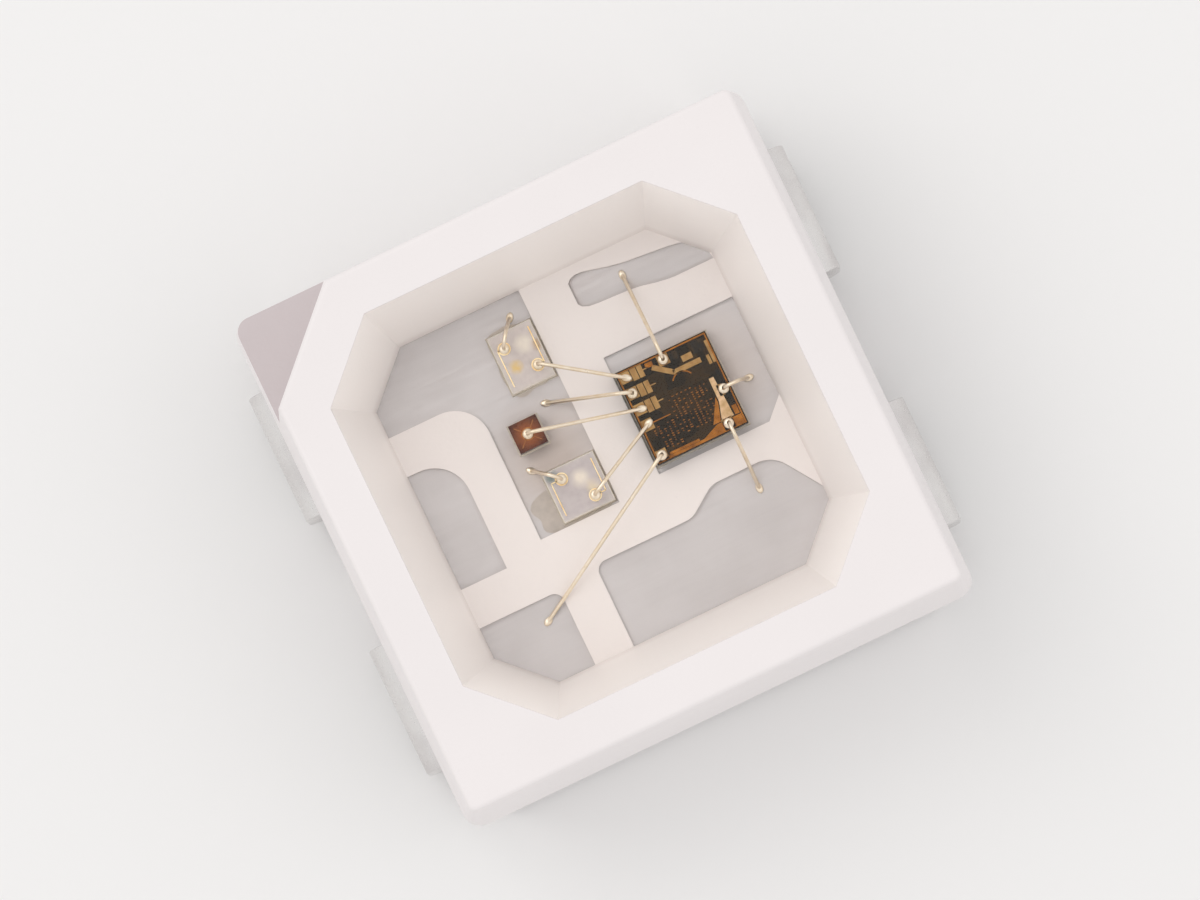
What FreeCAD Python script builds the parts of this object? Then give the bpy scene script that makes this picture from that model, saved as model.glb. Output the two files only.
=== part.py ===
import FreeCAD, Part
import math
import os
from collections import namedtuple
from enum import IntEnum

import Sketcher

# A surface-mount light: a white moulded housing with a clear-filled eight-sided cavity. On the floor of
# the cavity lie silvered leads with a red, a green and a blue die and the controller that drives them.
# Millimetres and degrees. The origin is the middle of the seating plane under the feet, +Z is the way
# the light leaves, and +X points to the side with the data input and ground terminals.

SIZES = {
    # Housing outside
    "body_length": 3.5,
    "body_width": 3.5,
    "overall_height": 1.95,
    "side_draft": 3.8,
    "corner_rounding": 0.12,
    "rim_rounding": 0.035,
    "notch_leg": 0.73,
    "notch_depth": 0.65,
    # Housing underside
    "lead_side_inset": 0.15,
    "base_draft": 3.0,
    "base_clearance": 0.05,
    "foot_clearance": 0.02,
    "recess_gap": 0.04,
    "gate_diameter": 0.9,
    "gate_depth": 0.06,
    # Cavity
    "rim_thickness": 0.29,
    "opening_chamfer": 0.44,
    "cavity_draft": 12.3,
    "lower_wall_height": 0.45,
    "floor_chamfer": 0.311,
    # Ribs between the windows of the cavity floor
    "rib_height": 0.04,
    "rib_width": 0.27,
    "centre_rib_width": 0.3,
    "centre_rib_offset": 0.12,
    "left_rib_offset": 0.715,
    "output_rib_offset": 0.475,
    "upper_left_rib_rise": 0.543,
    "lower_left_rib_drop": 0.515,
    "right_rib_rise": 0.688,
    "rib_bend": 0.24,
    "window_rounding": 0.07,
    # Edges of the windows that no straight rib sets
    "right_island_length": 0.9,
    "input_window_width": 0.347,
    "die_column_drop": 0.31,
    "controller_window_drop": 0.26,
    "controller_window_cut": 0.13,
    "ground_left_drop": 0.6,
    "ground_right_drop": 0.46,
    "ground_side_drop": 0.77,
    "ground_shoulder": 0.96,
    "step_start": 0.34,
    "step_end": 0.54,
    "step_bend": 0.15,
    "shoulder_bend": 0.2,
    # Leads
    "lead_thickness": 0.15,
    "lead_plane_height": 0.9,
    "lead_overlap": 0.05,
    "lead_wall_reach": 0.05,
    "terminal_width": 0.85,
    "terminal_pitch": 1.75,
    "terminal_stand": 0.1,
    "terminal_root": 0.07,
    "terminal_bend": 0.08,
    "foot_length": 0.75,
    # Dies and the thin layer that holds each one down
    "attach_thickness": 0.015,
    "attach_margin": 0.012,
    "attach_draft": 30,
    "attach_clearance": 0.005,
    "controller_length": 0.63,
    "controller_width": 0.64,
    "controller_height": 0.15,
    "controller_foot_gap": 0.03,
    "red_die_side": 0.19,
    "red_die_height": 0.17,
    "red_die_offset": 0.365,
    "red_die_rise": 0.32,
    "colour_die_height": 0.1,
    "green_die_length": 0.295,
    "green_die_width": 0.385,
    "green_die_rise": 0.78,
    "blue_die_length": 0.35,
    "blue_die_width": 0.335,
    "blue_die_foot_gap": 0.01,
    # Bond wires
    "wire_diameter": 0.025,
    "ball_radius": 0.034,
    "ball_height": 0.028,
    "ball_draft": 26,
    "loop_rise": 0.2,
    "loop_shoulder": 0.1,
    "loop_bend": 0.04,
    "stitch_length": 0.07,
    "stitch_width": 0.045,
    "stitch_height": 0.02,
    "pad_inset": 0.05,
    "pad_pitch": 0.11,
    "colour_pad_offset": 0.075,
    "colour_pad_rise": 0.09,
    "bond_margin": 0.14,
    "green_bond_offset": 0.16,
    "blue_bond_rise": 0.1,
    "supply_bond_rise": 0.45,
    "second_ground_offset": 0.2,
    # Clear filling
    "dish_sag": 0.07,
    "dish_reach_past_corner": 0.06,
}

PLACES = {
    # Housing
    "half_length": "Sizes.body_length / 2",
    "half_width": "Sizes.body_width / 2",
    "upper_height": "Sizes.overall_height - Sizes.lead_plane_height",
    "lower_height": "Sizes.lead_plane_height - Sizes.base_clearance",
    "lower_half_length": "half_length - Sizes.lead_side_inset",
    "side_lean": "upper_height * tan(Sizes.side_draft)",
    "recess_height": "Sizes.lead_thickness + Sizes.foot_clearance - Sizes.base_clearance",
    # Cavity: its opening at the rim, the foot of the upper wall, and the floor on top of the ribs
    "rib_top": "Sizes.lead_plane_height + Sizes.rib_height",
    "upper_wall_foot": "rib_top + Sizes.lower_wall_height",
    "upper_wall_height": "Sizes.overall_height - upper_wall_foot",
    "upper_wall_lean": "upper_wall_height * tan(Sizes.cavity_draft)",
    "opening_right": "half_length - side_lean - Sizes.rim_thickness",
    "opening_top": "half_width - side_lean - Sizes.rim_thickness",
    "foot_right": "opening_right - upper_wall_lean",
    "foot_top": "opening_top - upper_wall_lean",
    "foot_chamfer": "Sizes.opening_chamfer - upper_wall_lean * (2 - sqrt(2))",
    "floor_right": "right_island_left + Sizes.right_island_length",
    "floor_top": "input_bottom + Sizes.input_window_width",
    # Edges of the windows
    "side_window_right": "-Sizes.left_rib_offset - Sizes.rib_width / 2",
    "side_window_top": "Sizes.upper_left_rib_rise - Sizes.rib_width / 2",
    "side_window_bottom": "-Sizes.lower_left_rib_drop + Sizes.rib_width / 2",
    "column_left": "-Sizes.left_rib_offset + Sizes.rib_width / 2",
    "column_right": "Sizes.centre_rib_offset - Sizes.centre_rib_width / 2",
    "supply_bottom": "Sizes.upper_left_rib_rise + Sizes.rib_width / 2",
    "output_right": "-Sizes.output_rib_offset - Sizes.rib_width / 2",
    "output_top": "-Sizes.lower_left_rib_drop - Sizes.rib_width / 2",
    "ground_left": "-Sizes.output_rib_offset + Sizes.rib_width / 2",
    "right_island_left": "Sizes.centre_rib_offset + Sizes.centre_rib_width / 2",
    "controller_window_top": "Sizes.right_rib_rise - Sizes.rib_width / 2",
    "input_bottom": "Sizes.right_rib_rise + Sizes.rib_width / 2",
    # Leads
    "wall_reach": "floor_right + Sizes.lead_wall_reach",
    "neck_reach": "lower_half_length - Sizes.terminal_root / 2",
    "terminal_start": "lower_half_length - Sizes.terminal_root",
    "shoulder": "floor_top + Sizes.lead_overlap",
    "terminal_outside": "half_length + Sizes.terminal_stand",
    "terminal_inside": "terminal_outside - Sizes.lead_thickness",
    "outer_bend": "Sizes.terminal_bend + Sizes.lead_thickness",
    "lead_underside": "Sizes.lead_plane_height - Sizes.lead_thickness",
    "foot_end": "terminal_outside - Sizes.foot_length",
    "terminal_inner_edge": "(Sizes.terminal_pitch - Sizes.terminal_width) / 2",
    "terminal_outer_edge": "(Sizes.terminal_pitch + Sizes.terminal_width) / 2",
    # Dies
    "die_seat": "Sizes.lead_plane_height + Sizes.attach_thickness",
    "die_gap": "Sizes.attach_margin + Sizes.attach_clearance",
    "controller_x": "right_island_left + die_gap + Sizes.controller_length / 2",
    "controller_foot": "die_gap + Sizes.controller_foot_gap - Sizes.controller_window_drop",
    "controller_y": "controller_foot + Sizes.controller_width / 2",
    "controller_top": "die_seat + Sizes.controller_height",
    "red_x": "-Sizes.red_die_offset",
    "red_y": "Sizes.red_die_rise",
    "red_top": "die_seat + Sizes.red_die_height",
    "green_x": "column_right - die_gap - Sizes.green_die_length / 2",
    "green_y": "Sizes.green_die_rise",
    "blue_x": "column_right - die_gap - Sizes.blue_die_length / 2",
    "blue_y": "die_gap + Sizes.blue_die_foot_gap + Sizes.blue_die_width / 2 - Sizes.die_column_drop",
    "colour_top": "die_seat + Sizes.colour_die_height",
    # Pads on the controller
    "pad_left": "controller_x - Sizes.controller_length / 2 + Sizes.pad_inset",
    "pad_right": "controller_x + Sizes.controller_length / 2 - Sizes.pad_inset",
    "pad_top": "controller_y + Sizes.controller_width / 2 - Sizes.pad_inset",
    "pad_bottom": "controller_y - Sizes.controller_width / 2 + Sizes.pad_inset",
    # Clear filling
    "opening_corner": "hypot(opening_right; opening_top - Sizes.opening_chamfer)",
    "dish_reach": "opening_corner + Sizes.dish_reach_past_corner",
}

Corner = namedtuple("Corner", "x y radius", defaults=(None,))
Bond = namedtuple("Bond", "x y z")

UP = FreeCAD.Vector(0, 0, 1)
LEVEL_TOLERANCE = 1e-4
FULL_TURN = 360
# A wire is thinner than a hair, so a few flat sides stand for its round section
WIRE_SIDES = 6
BALL_SIDES = 8

# How a constraint names a sketch's own axes, and the points of a line or arc. The origin is the start
# of the axis that runs across.
Axis = IntEnum("Axis", "UPRIGHT ACROSS", start=-2)
Point = IntEnum("Point", "START END CENTRE")


# Sheets

def fill_sheet(document, name, cells):
    """Give the document a sheet with one named cell a row."""
    sheet = document.addObject("Spreadsheet::Sheet", name)
    for row, (alias, text) in enumerate(cells.items(), start=1):
        sheet.set(f"A{row}", alias)
        sheet.set(f"B{row}", text)
        sheet.setAlias(f"B{row}", alias)
    document.recompute()
    return sheet


def fill_sheets(document):
    """The driving dimensions, and the places that follow from them."""
    fill_sheet(document, "Sizes", {alias: str(size) for alias, size in SIZES.items()})
    fill_sheet(document, "Places", {alias: f"={formula}" for alias, formula in PLACES.items()})


# Sketches

def new_sketch(body, name, plane_role, offset=None):
    """An empty sketch on one of the body's origin planes, moved along its normal by the offset."""
    sketch = body.newObject("Sketcher::SketchObject", name)
    plane = next(feature for feature in body.Origin.OriginFeatures if feature.Role == plane_role)
    sketch.AttachmentSupport = (plane, [""])
    sketch.MapMode = "FlatFace"
    if offset:
        sketch.setExpression(".AttachmentOffset.Base.z", offset)
    return sketch


def tie(sketch, constraints):
    """Add constraints, given with or without an expression for their value."""
    first = sketch.ConstraintCount
    sketch.addConstraint([constraint for constraint, _ in constraints])
    for index, (_, expression) in enumerate(constraints, start=first):
        if expression:
            sketch.setExpression(f"Constraints[{index}]", expression)


def tied_value(sketch, expression, *terms):
    """A constraint of the given terms whose value is the expression's."""
    value = sketch.evalExpression(expression)
    return Sketcher.Constraint(*terms, value), expression


def tied_place(sketch, geometry, point, corner):
    """The two constraints that hold a point at a corner's place."""
    place = []
    for kind, axis, expression in (
            ("DistanceX", Axis.UPRIGHT, corner.x),
            ("DistanceY", Axis.ACROSS, corner.y)):
        if expression == "0":
            place.append((Sketcher.Constraint("PointOnObject", geometry, point, axis), None))
        else:
            place.append(tied_value(sketch, expression, kind, Axis.ACROSS, Point.START, geometry, point))
    return place


def round_corner(spot, before, after, radius):
    """Where a rounded corner's arc starts and ends, its centre, and whether it turns left."""
    cut = radius * math.tan(before.getAngle(after) / 2)
    turns_left = before.cross(after).z > 0
    towards_centre = UP.cross(before) if turns_left else before.cross(UP)
    start = spot - before * cut
    end = spot + after * cut
    return start, end, start + towards_centre * radius, turns_left


def draw(sketch, corners, closed=True):
    """Straight runs from corner to corner, with an arc at each corner that has a radius."""
    spots = [FreeCAD.Vector(sketch.evalExpression(corner.x), sketch.evalExpression(corner.y), 0)
             for corner in corners]
    count = len(corners)
    run_count = count if closed else count - 1
    first_run = sketch.GeometryCount
    arrivals = list(spots)
    departures = list(spots)
    arcs = []
    for index, corner in enumerate(corners):
        if corner.radius:
            before = (spots[index] - spots[index - 1]).normalize()
            after = (spots[(index + 1) % count] - spots[index]).normalize()
            radius = sketch.evalExpression(corner.radius)
            arrival, departure, centre, turns_left = round_corner(spots[index], before, after, radius)
            arrivals[index] = arrival
            departures[index] = departure
            sweep = [arrival - centre, departure - centre]
            if not turns_left:
                sweep.reverse()
            angles = [math.atan2(arm.y, arm.x) for arm in sweep]
            arcs.append((index, turns_left, Part.ArcOfCircle(Part.Circle(centre, UP, radius), *angles)))
    runs = [Part.LineSegment(departures[index], arrivals[(index + 1) % count])
            for index in range(run_count)]
    sketch.addGeometry(runs + [arc for _, _, arc in arcs], False)

    constraints = []
    for index, corner in enumerate(corners):
        run_in = first_run + (index - 1) % count
        run_out = first_run + index
        if corner.radius:
            continue
        if closed or 0 < index < count - 1:
            joined = Sketcher.Constraint("Coincident", run_in, Point.END, run_out, Point.START)
            constraints.append((joined, None))
        if index < run_count:
            constraints += tied_place(sketch, run_out, Point.START, corner)
        else:
            constraints += tied_place(sketch, run_in, Point.END, corner)
    for arc_index, (index, turns_left, _) in enumerate(arcs, start=first_run + run_count):
        run_in = first_run + (index - 1) % count
        run_out = first_run + index
        arc_start, arc_end = (Point.START, Point.END) if turns_left else (Point.END, Point.START)
        corner_point = sketch.addGeometry(Part.Point(spots[index]), True)
        constraints += [
            (Sketcher.Constraint("Tangent", run_in, Point.END, arc_index, arc_start), None),
            (Sketcher.Constraint("Tangent", arc_index, arc_end, run_out, Point.START), None),
            (Sketcher.Constraint("PointOnObject", corner_point, Point.START, run_in), None),
            (Sketcher.Constraint("PointOnObject", corner_point, Point.START, run_out), None),
            *tied_place(sketch, corner_point, Point.START, corners[index]),
            tied_value(sketch, corners[index].radius, "Radius", arc_index),
        ]
    tie(sketch, constraints)


def draw_circle(sketch, radius):
    """A circle round the sketch's origin."""
    circle = sketch.addGeometry(Part.Circle(FreeCAD.Vector(), UP, sketch.evalExpression(radius)), False)
    tie(sketch, [
        (Sketcher.Constraint("Coincident", circle, Point.CENTRE, Axis.ACROSS, Point.START), None),
        tied_value(sketch, radius, "Radius", circle),
    ])


def rectangle(left, right, bottom, top, radius=None):
    """The four corners of an upright rectangle."""
    return [
        Corner(left, bottom, radius),
        Corner(right, bottom, radius),
        Corner(right, top, radius),
        Corner(left, top, radius),
    ]


def centred_rectangle(half_length, half_width, radius=None):
    """The four corners of a rectangle round the origin."""
    return rectangle(f"-({half_length})", half_length, f"-({half_width})", half_width, radius)


def octagon(right, top, chamfer):
    """A rectangle round the origin with its corners cut off."""
    inner_x = f"({right} - {chamfer})"
    inner_y = f"({top} - {chamfer})"
    return [
        Corner(right, f"-{inner_y}"),
        Corner(right, inner_y),
        Corner(inner_x, top),
        Corner(f"-{inner_x}", top),
        Corner(f"-{right}", inner_y),
        Corner(f"-{right}", f"-{inner_y}"),
        Corner(f"-{inner_x}", f"-{top}"),
        Corner(inner_x, f"-{top}"),
    ]


def corner_cut(side, end, right, top, leg):
    """A three-cornered outline that takes a corner, on the side and end given by signs, off a rectangle."""
    return [
        Corner(f"{side} * ({right} + {leg})", f"{end} * ({top} + {leg})"),
        Corner(f"{side} * ({right} + {leg})", f"{end} * ({top} - 2 * {leg})"),
        Corner(f"{side} * ({right} - 2 * {leg})", f"{end} * ({top} + {leg})"),
    ]


def ring(radius, side_count):
    """The corners of a regular figure on a circle round the origin."""
    angles = [FULL_TURN * index / side_count for index in range(side_count)]
    return [Corner(f"{radius} * cos({angle})", f"{radius} * sin({angle})") for angle in angles]


# Features

def pad(body, name, sketch, length, narrowing=None, downward=False, both_ways=False):
    """Material from the sketch, narrowing away from it by a draft angle if one is given."""
    feature = body.newObject("PartDesign::Pad", name)
    feature.Profile = sketch
    feature.Reversed = downward
    if both_ways:
        feature.SideType = "Symmetric"
    feature.setExpression("Length", length)
    if narrowing:
        feature.setExpression("TaperAngle", f"-{narrowing}")
    body.Document.recompute()


def pocket(body, name, sketch, length, upward=False):
    """A recess below the sketch, or above it, that has to take some material away."""
    volume_before = body.Shape.Volume
    feature = body.newObject("PartDesign::Pocket", name)
    feature.Profile = sketch
    feature.Reversed = upward
    feature.setExpression("Length", length)
    body.Document.recompute()
    if not body.Shape.Volume < volume_before:
        raise RuntimeError(f"{body.Label}: {name} cuts nothing")


def loft(body, name, first, second):
    """Material with flat sides from one outline to another."""
    feature = body.newObject("PartDesign::AdditiveLoft", name)
    feature.Profile = first
    feature.Sections = [second]
    feature.Ruled = True
    body.Document.recompute()


def turn(body, name, profile):
    """Material made by turning a profile round the sketch's upright axis."""
    feature = body.newObject("PartDesign::Revolution", name)
    feature.Profile = profile
    feature.ReferenceAxis = (profile, ["V_Axis"])
    body.Document.recompute()


def edges_at(shape, height):
    """The names of the edges that lie level at one height."""
    names = []
    for index, edge in enumerate(shape.Edges, start=1):
        box = edge.BoundBox
        if max(abs(box.ZMin - height), abs(box.ZMax - height)) < LEVEL_TOLERANCE:
            names.append(f"Edge{index}")
    return names


# Housing

def add_outer_block(body):
    """The upper half, which overhangs the leads, and the lower half, which they fold round."""
    upper_outline = new_sketch(body, "UpperOutline", "XY_Plane", "Sizes.lead_plane_height")
    draw(upper_outline,
         centred_rectangle("Places.half_length", "Places.half_width", "Sizes.corner_rounding"))
    pad(body, "UpperHalf", upper_outline, "Places.upper_height", narrowing="Sizes.side_draft")
    lower_outline = new_sketch(body, "LowerOutline", "XY_Plane", "Sizes.lead_plane_height")
    draw(lower_outline,
         centred_rectangle("Places.lower_half_length", "Places.half_width", "Sizes.corner_rounding"))
    pad(body, "LowerHalf", lower_outline, "Places.lower_height",
        narrowing="Sizes.base_draft", downward=True)


def cut_notch(body):
    """The polarity notch: a low three-cornered ledge at the corner by the supply terminal."""
    notch_outline = new_sketch(body, "NotchOutline", "XY_Plane", "Sizes.overall_height")
    draw(notch_outline, corner_cut(-1, 1, "Places.half_length", "Places.half_width", "Sizes.notch_leg"))
    pocket(body, "PolarityNotch", notch_outline, "Sizes.notch_depth")


def round_rim(body):
    """A small rounding along the outer edge of the rim, notch and all."""
    base = body.Tip
    rim_edges = edges_at(body.Shape, body.Document.Sizes.get("overall_height"))
    fillet = body.newObject("PartDesign::Fillet", "RimRounding")
    fillet.Base = (base, rim_edges)
    fillet.setExpression("Radius", "Sizes.rim_rounding")
    body.Document.recompute()


def cut_underside(body):
    """A recess over each foot, open to the side, and the round recess left by the moulding gate."""
    recess_outlines = new_sketch(body, "RecessOutlines", "XY_Plane", "Sizes.base_clearance")
    inner = "(Places.foot_end - Sizes.recess_gap)"
    outer = "Places.half_length"
    near = "(Places.terminal_inner_edge - Sizes.recess_gap)"
    far = "(Places.terminal_outer_edge + Sizes.recess_gap)"
    draw(recess_outlines, rectangle(inner, outer, near, far))
    draw(recess_outlines, rectangle(f"-{outer}", f"-{inner}", near, far))
    draw(recess_outlines, rectangle(inner, outer, f"-{far}", f"-{near}"))
    draw(recess_outlines, rectangle(f"-{outer}", f"-{inner}", f"-{far}", f"-{near}"))
    pocket(body, "FootRecesses", recess_outlines, "Places.recess_height", upward=True)
    gate_outline = new_sketch(body, "GateOutline", "XY_Plane", "Sizes.base_clearance")
    draw_circle(gate_outline, "Sizes.gate_diameter / 2")
    pocket(body, "GateRecess", gate_outline, "Sizes.gate_depth", upward=True)


def make_housing(document, cavity, leads):
    """The moulding, with the cavity and the leads' own shapes taken out of it."""
    body = document.addObject("PartDesign::Body", "Moulding")
    add_outer_block(body)
    cut_notch(body)
    round_rim(body)
    cut_underside(body)
    return without(document, "housing", body, [cavity, *leads])


# Cavity

def supply_window():
    """The tall window over the supply lead, with the column that carries the three colour dies."""
    return [
        Corner("Places.column_left", "-Sizes.die_column_drop"),
        Corner("Places.column_right", "-Sizes.die_column_drop"),
        Corner("Places.column_right", "Places.floor_top"),
        Corner("-Places.floor_right", "Places.floor_top"),
        Corner("-Places.floor_right", "Places.supply_bottom"),
        Corner("Places.column_left", "Places.supply_bottom", "Sizes.rib_bend"),
    ]


def side_window():
    """The upright window beside the column, over the output lead."""
    return [
        Corner("-Places.floor_right", "Places.side_window_bottom"),
        Corner("Places.side_window_right", "Places.side_window_bottom"),
        Corner("Places.side_window_right", "Places.side_window_top", "Sizes.rib_bend"),
        Corner("-Places.floor_right", "Places.side_window_top"),
    ]


def output_window():
    """The small window in the corner over the output lead, where the data leaves."""
    return [
        Corner("-Places.floor_right", "-Places.floor_top"),
        Corner("Places.output_right", "-Places.floor_top"),
        Corner("Places.output_right", "Places.output_top", "Sizes.window_rounding"),
        Corner("-Places.floor_right", "Places.output_top"),
    ]


def ground_window():
    """The wide window over the ground lead, whose upper edge steps up to a shoulder."""
    return [
        Corner("Places.ground_left", "-Places.floor_top"),
        Corner("Places.floor_right", "-Places.floor_top"),
        Corner("Places.floor_right", "-Sizes.ground_side_drop"),
        Corner("Sizes.ground_shoulder", "-Sizes.ground_right_drop", "Sizes.shoulder_bend"),
        Corner("Sizes.step_end", "-Sizes.ground_right_drop", "Sizes.step_bend"),
        Corner("Sizes.step_start", "-Sizes.ground_left_drop", "Sizes.step_bend"),
        Corner("Places.ground_left", "-Sizes.ground_left_drop", "Sizes.window_rounding"),
    ]


def controller_window():
    """The window round the controller, with one corner cut off."""
    return [
        Corner("Places.right_island_left", "-Sizes.controller_window_drop"),
        Corner("Places.floor_right - Sizes.controller_window_cut", "-Sizes.controller_window_drop"),
        Corner("Places.floor_right", "-Sizes.controller_window_drop + Sizes.controller_window_cut"),
        Corner("Places.floor_right", "Places.controller_window_top"),
        Corner("Places.right_island_left", "Places.controller_window_top"),
    ]


def input_window():
    """The slim window over the input lead."""
    return [
        Corner("Places.right_island_left", "Places.input_bottom"),
        Corner("Places.floor_right", "Places.input_bottom"),
        Corner("Places.floor_right", "Places.floor_top"),
        Corner("Places.right_island_left", "Places.floor_top", "Sizes.window_rounding"),
    ]


def add_windows(body):
    """The six windows between the ribs, down to the metal, with the floor's corners cut off them."""
    outlines = new_sketch(body, "WindowOutlines", "XY_Plane", "Places.rib_top")
    windows = (supply_window, side_window, output_window, ground_window, controller_window, input_window)
    for window in windows:
        draw(outlines, window())
    pad(body, "Windows", outlines, "Sizes.rib_height", downward=True)
    corners = new_sketch(body, "CornerOutlines", "XY_Plane", "Places.rib_top")
    for side in (-1, 1):
        for end in (-1, 1):
            draw(corners, corner_cut(
                side, end, "Places.floor_right", "Places.floor_top", "Sizes.floor_chamfer"))
    pocket(body, "FloorCorners", corners, "Sizes.rib_height")


def make_cavity(document):
    """The space inside the housing: the drafted upper wall, the wall down to the floor, the windows."""
    body = document.addObject("PartDesign::Body", "Cavity")
    opening = new_sketch(body, "OpeningOutline", "XY_Plane", "Sizes.overall_height")
    draw(opening, octagon("Places.opening_right", "Places.opening_top", "Sizes.opening_chamfer"))
    pad(body, "UpperWall", opening, "Places.upper_wall_height",
        narrowing="Sizes.cavity_draft", downward=True)
    foot = new_sketch(body, "FootOutline", "XY_Plane", "Places.upper_wall_foot")
    draw(foot, octagon("Places.foot_right", "Places.foot_top", "Places.foot_chamfer"))
    floor = new_sketch(body, "FloorOutline", "XY_Plane", "Places.rib_top")
    draw(floor, octagon("Places.floor_right", "Places.floor_top", "Sizes.floor_chamfer"))
    loft(body, "LowerWall", foot, floor)
    add_windows(body)
    return body


# Leads

def add_plate(body, corners):
    """The flat part of a lead, inside the housing."""
    outline = new_sketch(body, "PlateOutline", "XY_Plane", "Places.lead_underside")
    draw(outline, corners)
    pad(body, "Plate", outline, "Sizes.lead_thickness")


def add_terminal(body, side, end):
    """The strip that leaves the side wall, folds down and turns in under the housing."""
    middle = f"{end} * Sizes.terminal_pitch / 2"
    outline = new_sketch(body, "TerminalOutline", "XZ_Plane", f"-({middle})")
    draw(outline, [
        Corner(f"{side} * Places.terminal_start", "Sizes.lead_plane_height"),
        Corner(f"{side} * Places.terminal_outside", "Sizes.lead_plane_height", "Places.outer_bend"),
        Corner(f"{side} * Places.terminal_outside", "0", "Places.outer_bend"),
        Corner(f"{side} * Places.foot_end", "0"),
        Corner(f"{side} * Places.foot_end", "Sizes.lead_thickness"),
        Corner(f"{side} * Places.terminal_inside", "Sizes.lead_thickness", "Sizes.terminal_bend"),
        Corner(f"{side} * Places.terminal_inside", "Places.lead_underside", "Sizes.terminal_bend"),
        Corner(f"{side} * Places.terminal_start", "Places.lead_underside"),
    ])
    pad(body, "Terminal", outline, "Sizes.terminal_width", both_ways=True)


def supply_plate():
    """Under the tall window, with the column for the dies."""
    return [
        Corner("Places.column_left - Sizes.lead_overlap", "-Sizes.die_column_drop - Sizes.lead_overlap"),
        Corner("Places.column_right + Sizes.lead_overlap", "-Sizes.die_column_drop - Sizes.lead_overlap"),
        Corner("Places.column_right + Sizes.lead_overlap", "Places.shoulder"),
        Corner("-Places.neck_reach", "Places.shoulder"),
        Corner("-Places.neck_reach", "Places.supply_bottom - Sizes.lead_overlap"),
        Corner("Places.column_left - Sizes.lead_overlap", "Places.supply_bottom - Sizes.lead_overlap",
               "Sizes.rib_bend"),
    ]


def output_plate():
    """Under the side window and the corner window, with the rib between them on top."""
    corner_right = "Places.output_right + Sizes.lead_overlap"
    corner_top = "Places.output_top + Sizes.lead_overlap"
    side_right = "Places.side_window_right + Sizes.lead_overlap"
    side_top = "Places.side_window_top + Sizes.lead_overlap"
    return [
        Corner("-Places.neck_reach", "-Places.shoulder"),
        Corner(corner_right, "-Places.shoulder"),
        Corner(corner_right, corner_top),
        Corner(side_right, corner_top),
        Corner(side_right, side_top, "Sizes.rib_bend"),
        Corner("-Places.wall_reach", side_top),
        Corner("-Places.wall_reach", "-Places.terminal_inner_edge"),
        Corner("-Places.neck_reach", "-Places.terminal_inner_edge"),
    ]


def ground_plate():
    """Under the controller and the wide window below it."""
    island_left = "Places.right_island_left - Sizes.lead_overlap"
    island_top = "Places.controller_window_top + Sizes.lead_overlap"
    ground_left = "Places.ground_left - Sizes.lead_overlap"
    ground_top = "-Sizes.ground_left_drop + Sizes.lead_overlap"
    return [
        Corner(ground_left, "-Places.shoulder"),
        Corner("Places.neck_reach", "-Places.shoulder"),
        Corner("Places.neck_reach", "-Places.terminal_inner_edge"),
        Corner("Places.wall_reach", "-Places.terminal_inner_edge"),
        Corner("Places.wall_reach", island_top),
        Corner(island_left, island_top),
        Corner(island_left, ground_top),
        Corner(ground_left, ground_top),
    ]


def input_plate():
    """Under the slim window."""
    return rectangle("Places.right_island_left - Sizes.lead_overlap", "Places.neck_reach",
                     "Places.input_bottom - Sizes.lead_overlap", "Places.shoulder")


def make_lead(document, name, side, end, plate_corners):
    """One lead: its plate, and its terminal on the side and at the end given by their signs."""
    body = document.addObject("PartDesign::Body", name)
    add_plate(body, plate_corners)
    add_terminal(body, side, end)
    return body


def make_leads(document):
    """The four leads, one in each corner."""
    return [
        make_lead(document, "supply_lead", -1, 1, supply_plate()),
        make_lead(document, "output_lead", -1, -1, output_plate()),
        make_lead(document, "ground_lead", 1, -1, ground_plate()),
        make_lead(document, "input_lead", 1, 1, input_plate()),
    ]


# Dies

def place(body, x, y, z=None):
    """Tie the body's place to the sheets."""
    for axis, expression in (("x", x), ("y", y), ("z", z)):
        if expression:
            body.setExpression(f".Placement.Base.{axis}", expression)


def make_die(document, name, x, y, length, width, height):
    """A plain sawn die on top of its layer of glue."""
    body = document.addObject("PartDesign::Body", name)
    outline = new_sketch(body, "DieOutline", "XY_Plane")
    draw(outline, centred_rectangle(f"{length} / 2", f"{width} / 2"))
    pad(body, "Die", outline, height)
    place(body, x, y, "Places.die_seat")
    return body


def make_attach(document, name, x, y, length, width):
    """The layer of glue under a die, with sloping sides."""
    body = document.addObject("PartDesign::Body", name)
    outline = new_sketch(body, "AttachOutline", "XY_Plane")
    half_length = f"{length} / 2 + Sizes.attach_margin"
    half_width = f"{width} / 2 + Sizes.attach_margin"
    draw(outline, centred_rectangle(half_length, half_width))
    pad(body, "Attach", outline, "Sizes.attach_thickness", narrowing="Sizes.attach_draft")
    place(body, x, y, "Sizes.lead_plane_height")
    return body


def make_dies(document):
    """The controller and the three colour dies, each with its glue."""
    dies = {
        "controller": ("Sizes.controller_length", "Sizes.controller_width", "Sizes.controller_height"),
        "red": ("Sizes.red_die_side", "Sizes.red_die_side", "Sizes.red_die_height"),
        "green": ("Sizes.green_die_length", "Sizes.green_die_width", "Sizes.colour_die_height"),
        "blue": ("Sizes.blue_die_length", "Sizes.blue_die_width", "Sizes.colour_die_height"),
    }
    bodies = []
    for name, (length, width, height) in dies.items():
        x = f"Places.{name}_x"
        y = f"Places.{name}_y"
        bodies.append(make_attach(document, f"{name}_attach", x, y, length, width))
        bodies.append(make_die(document, f"{name}_die", x, y, length, width, height))
    return bodies


# Bond wires

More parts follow.
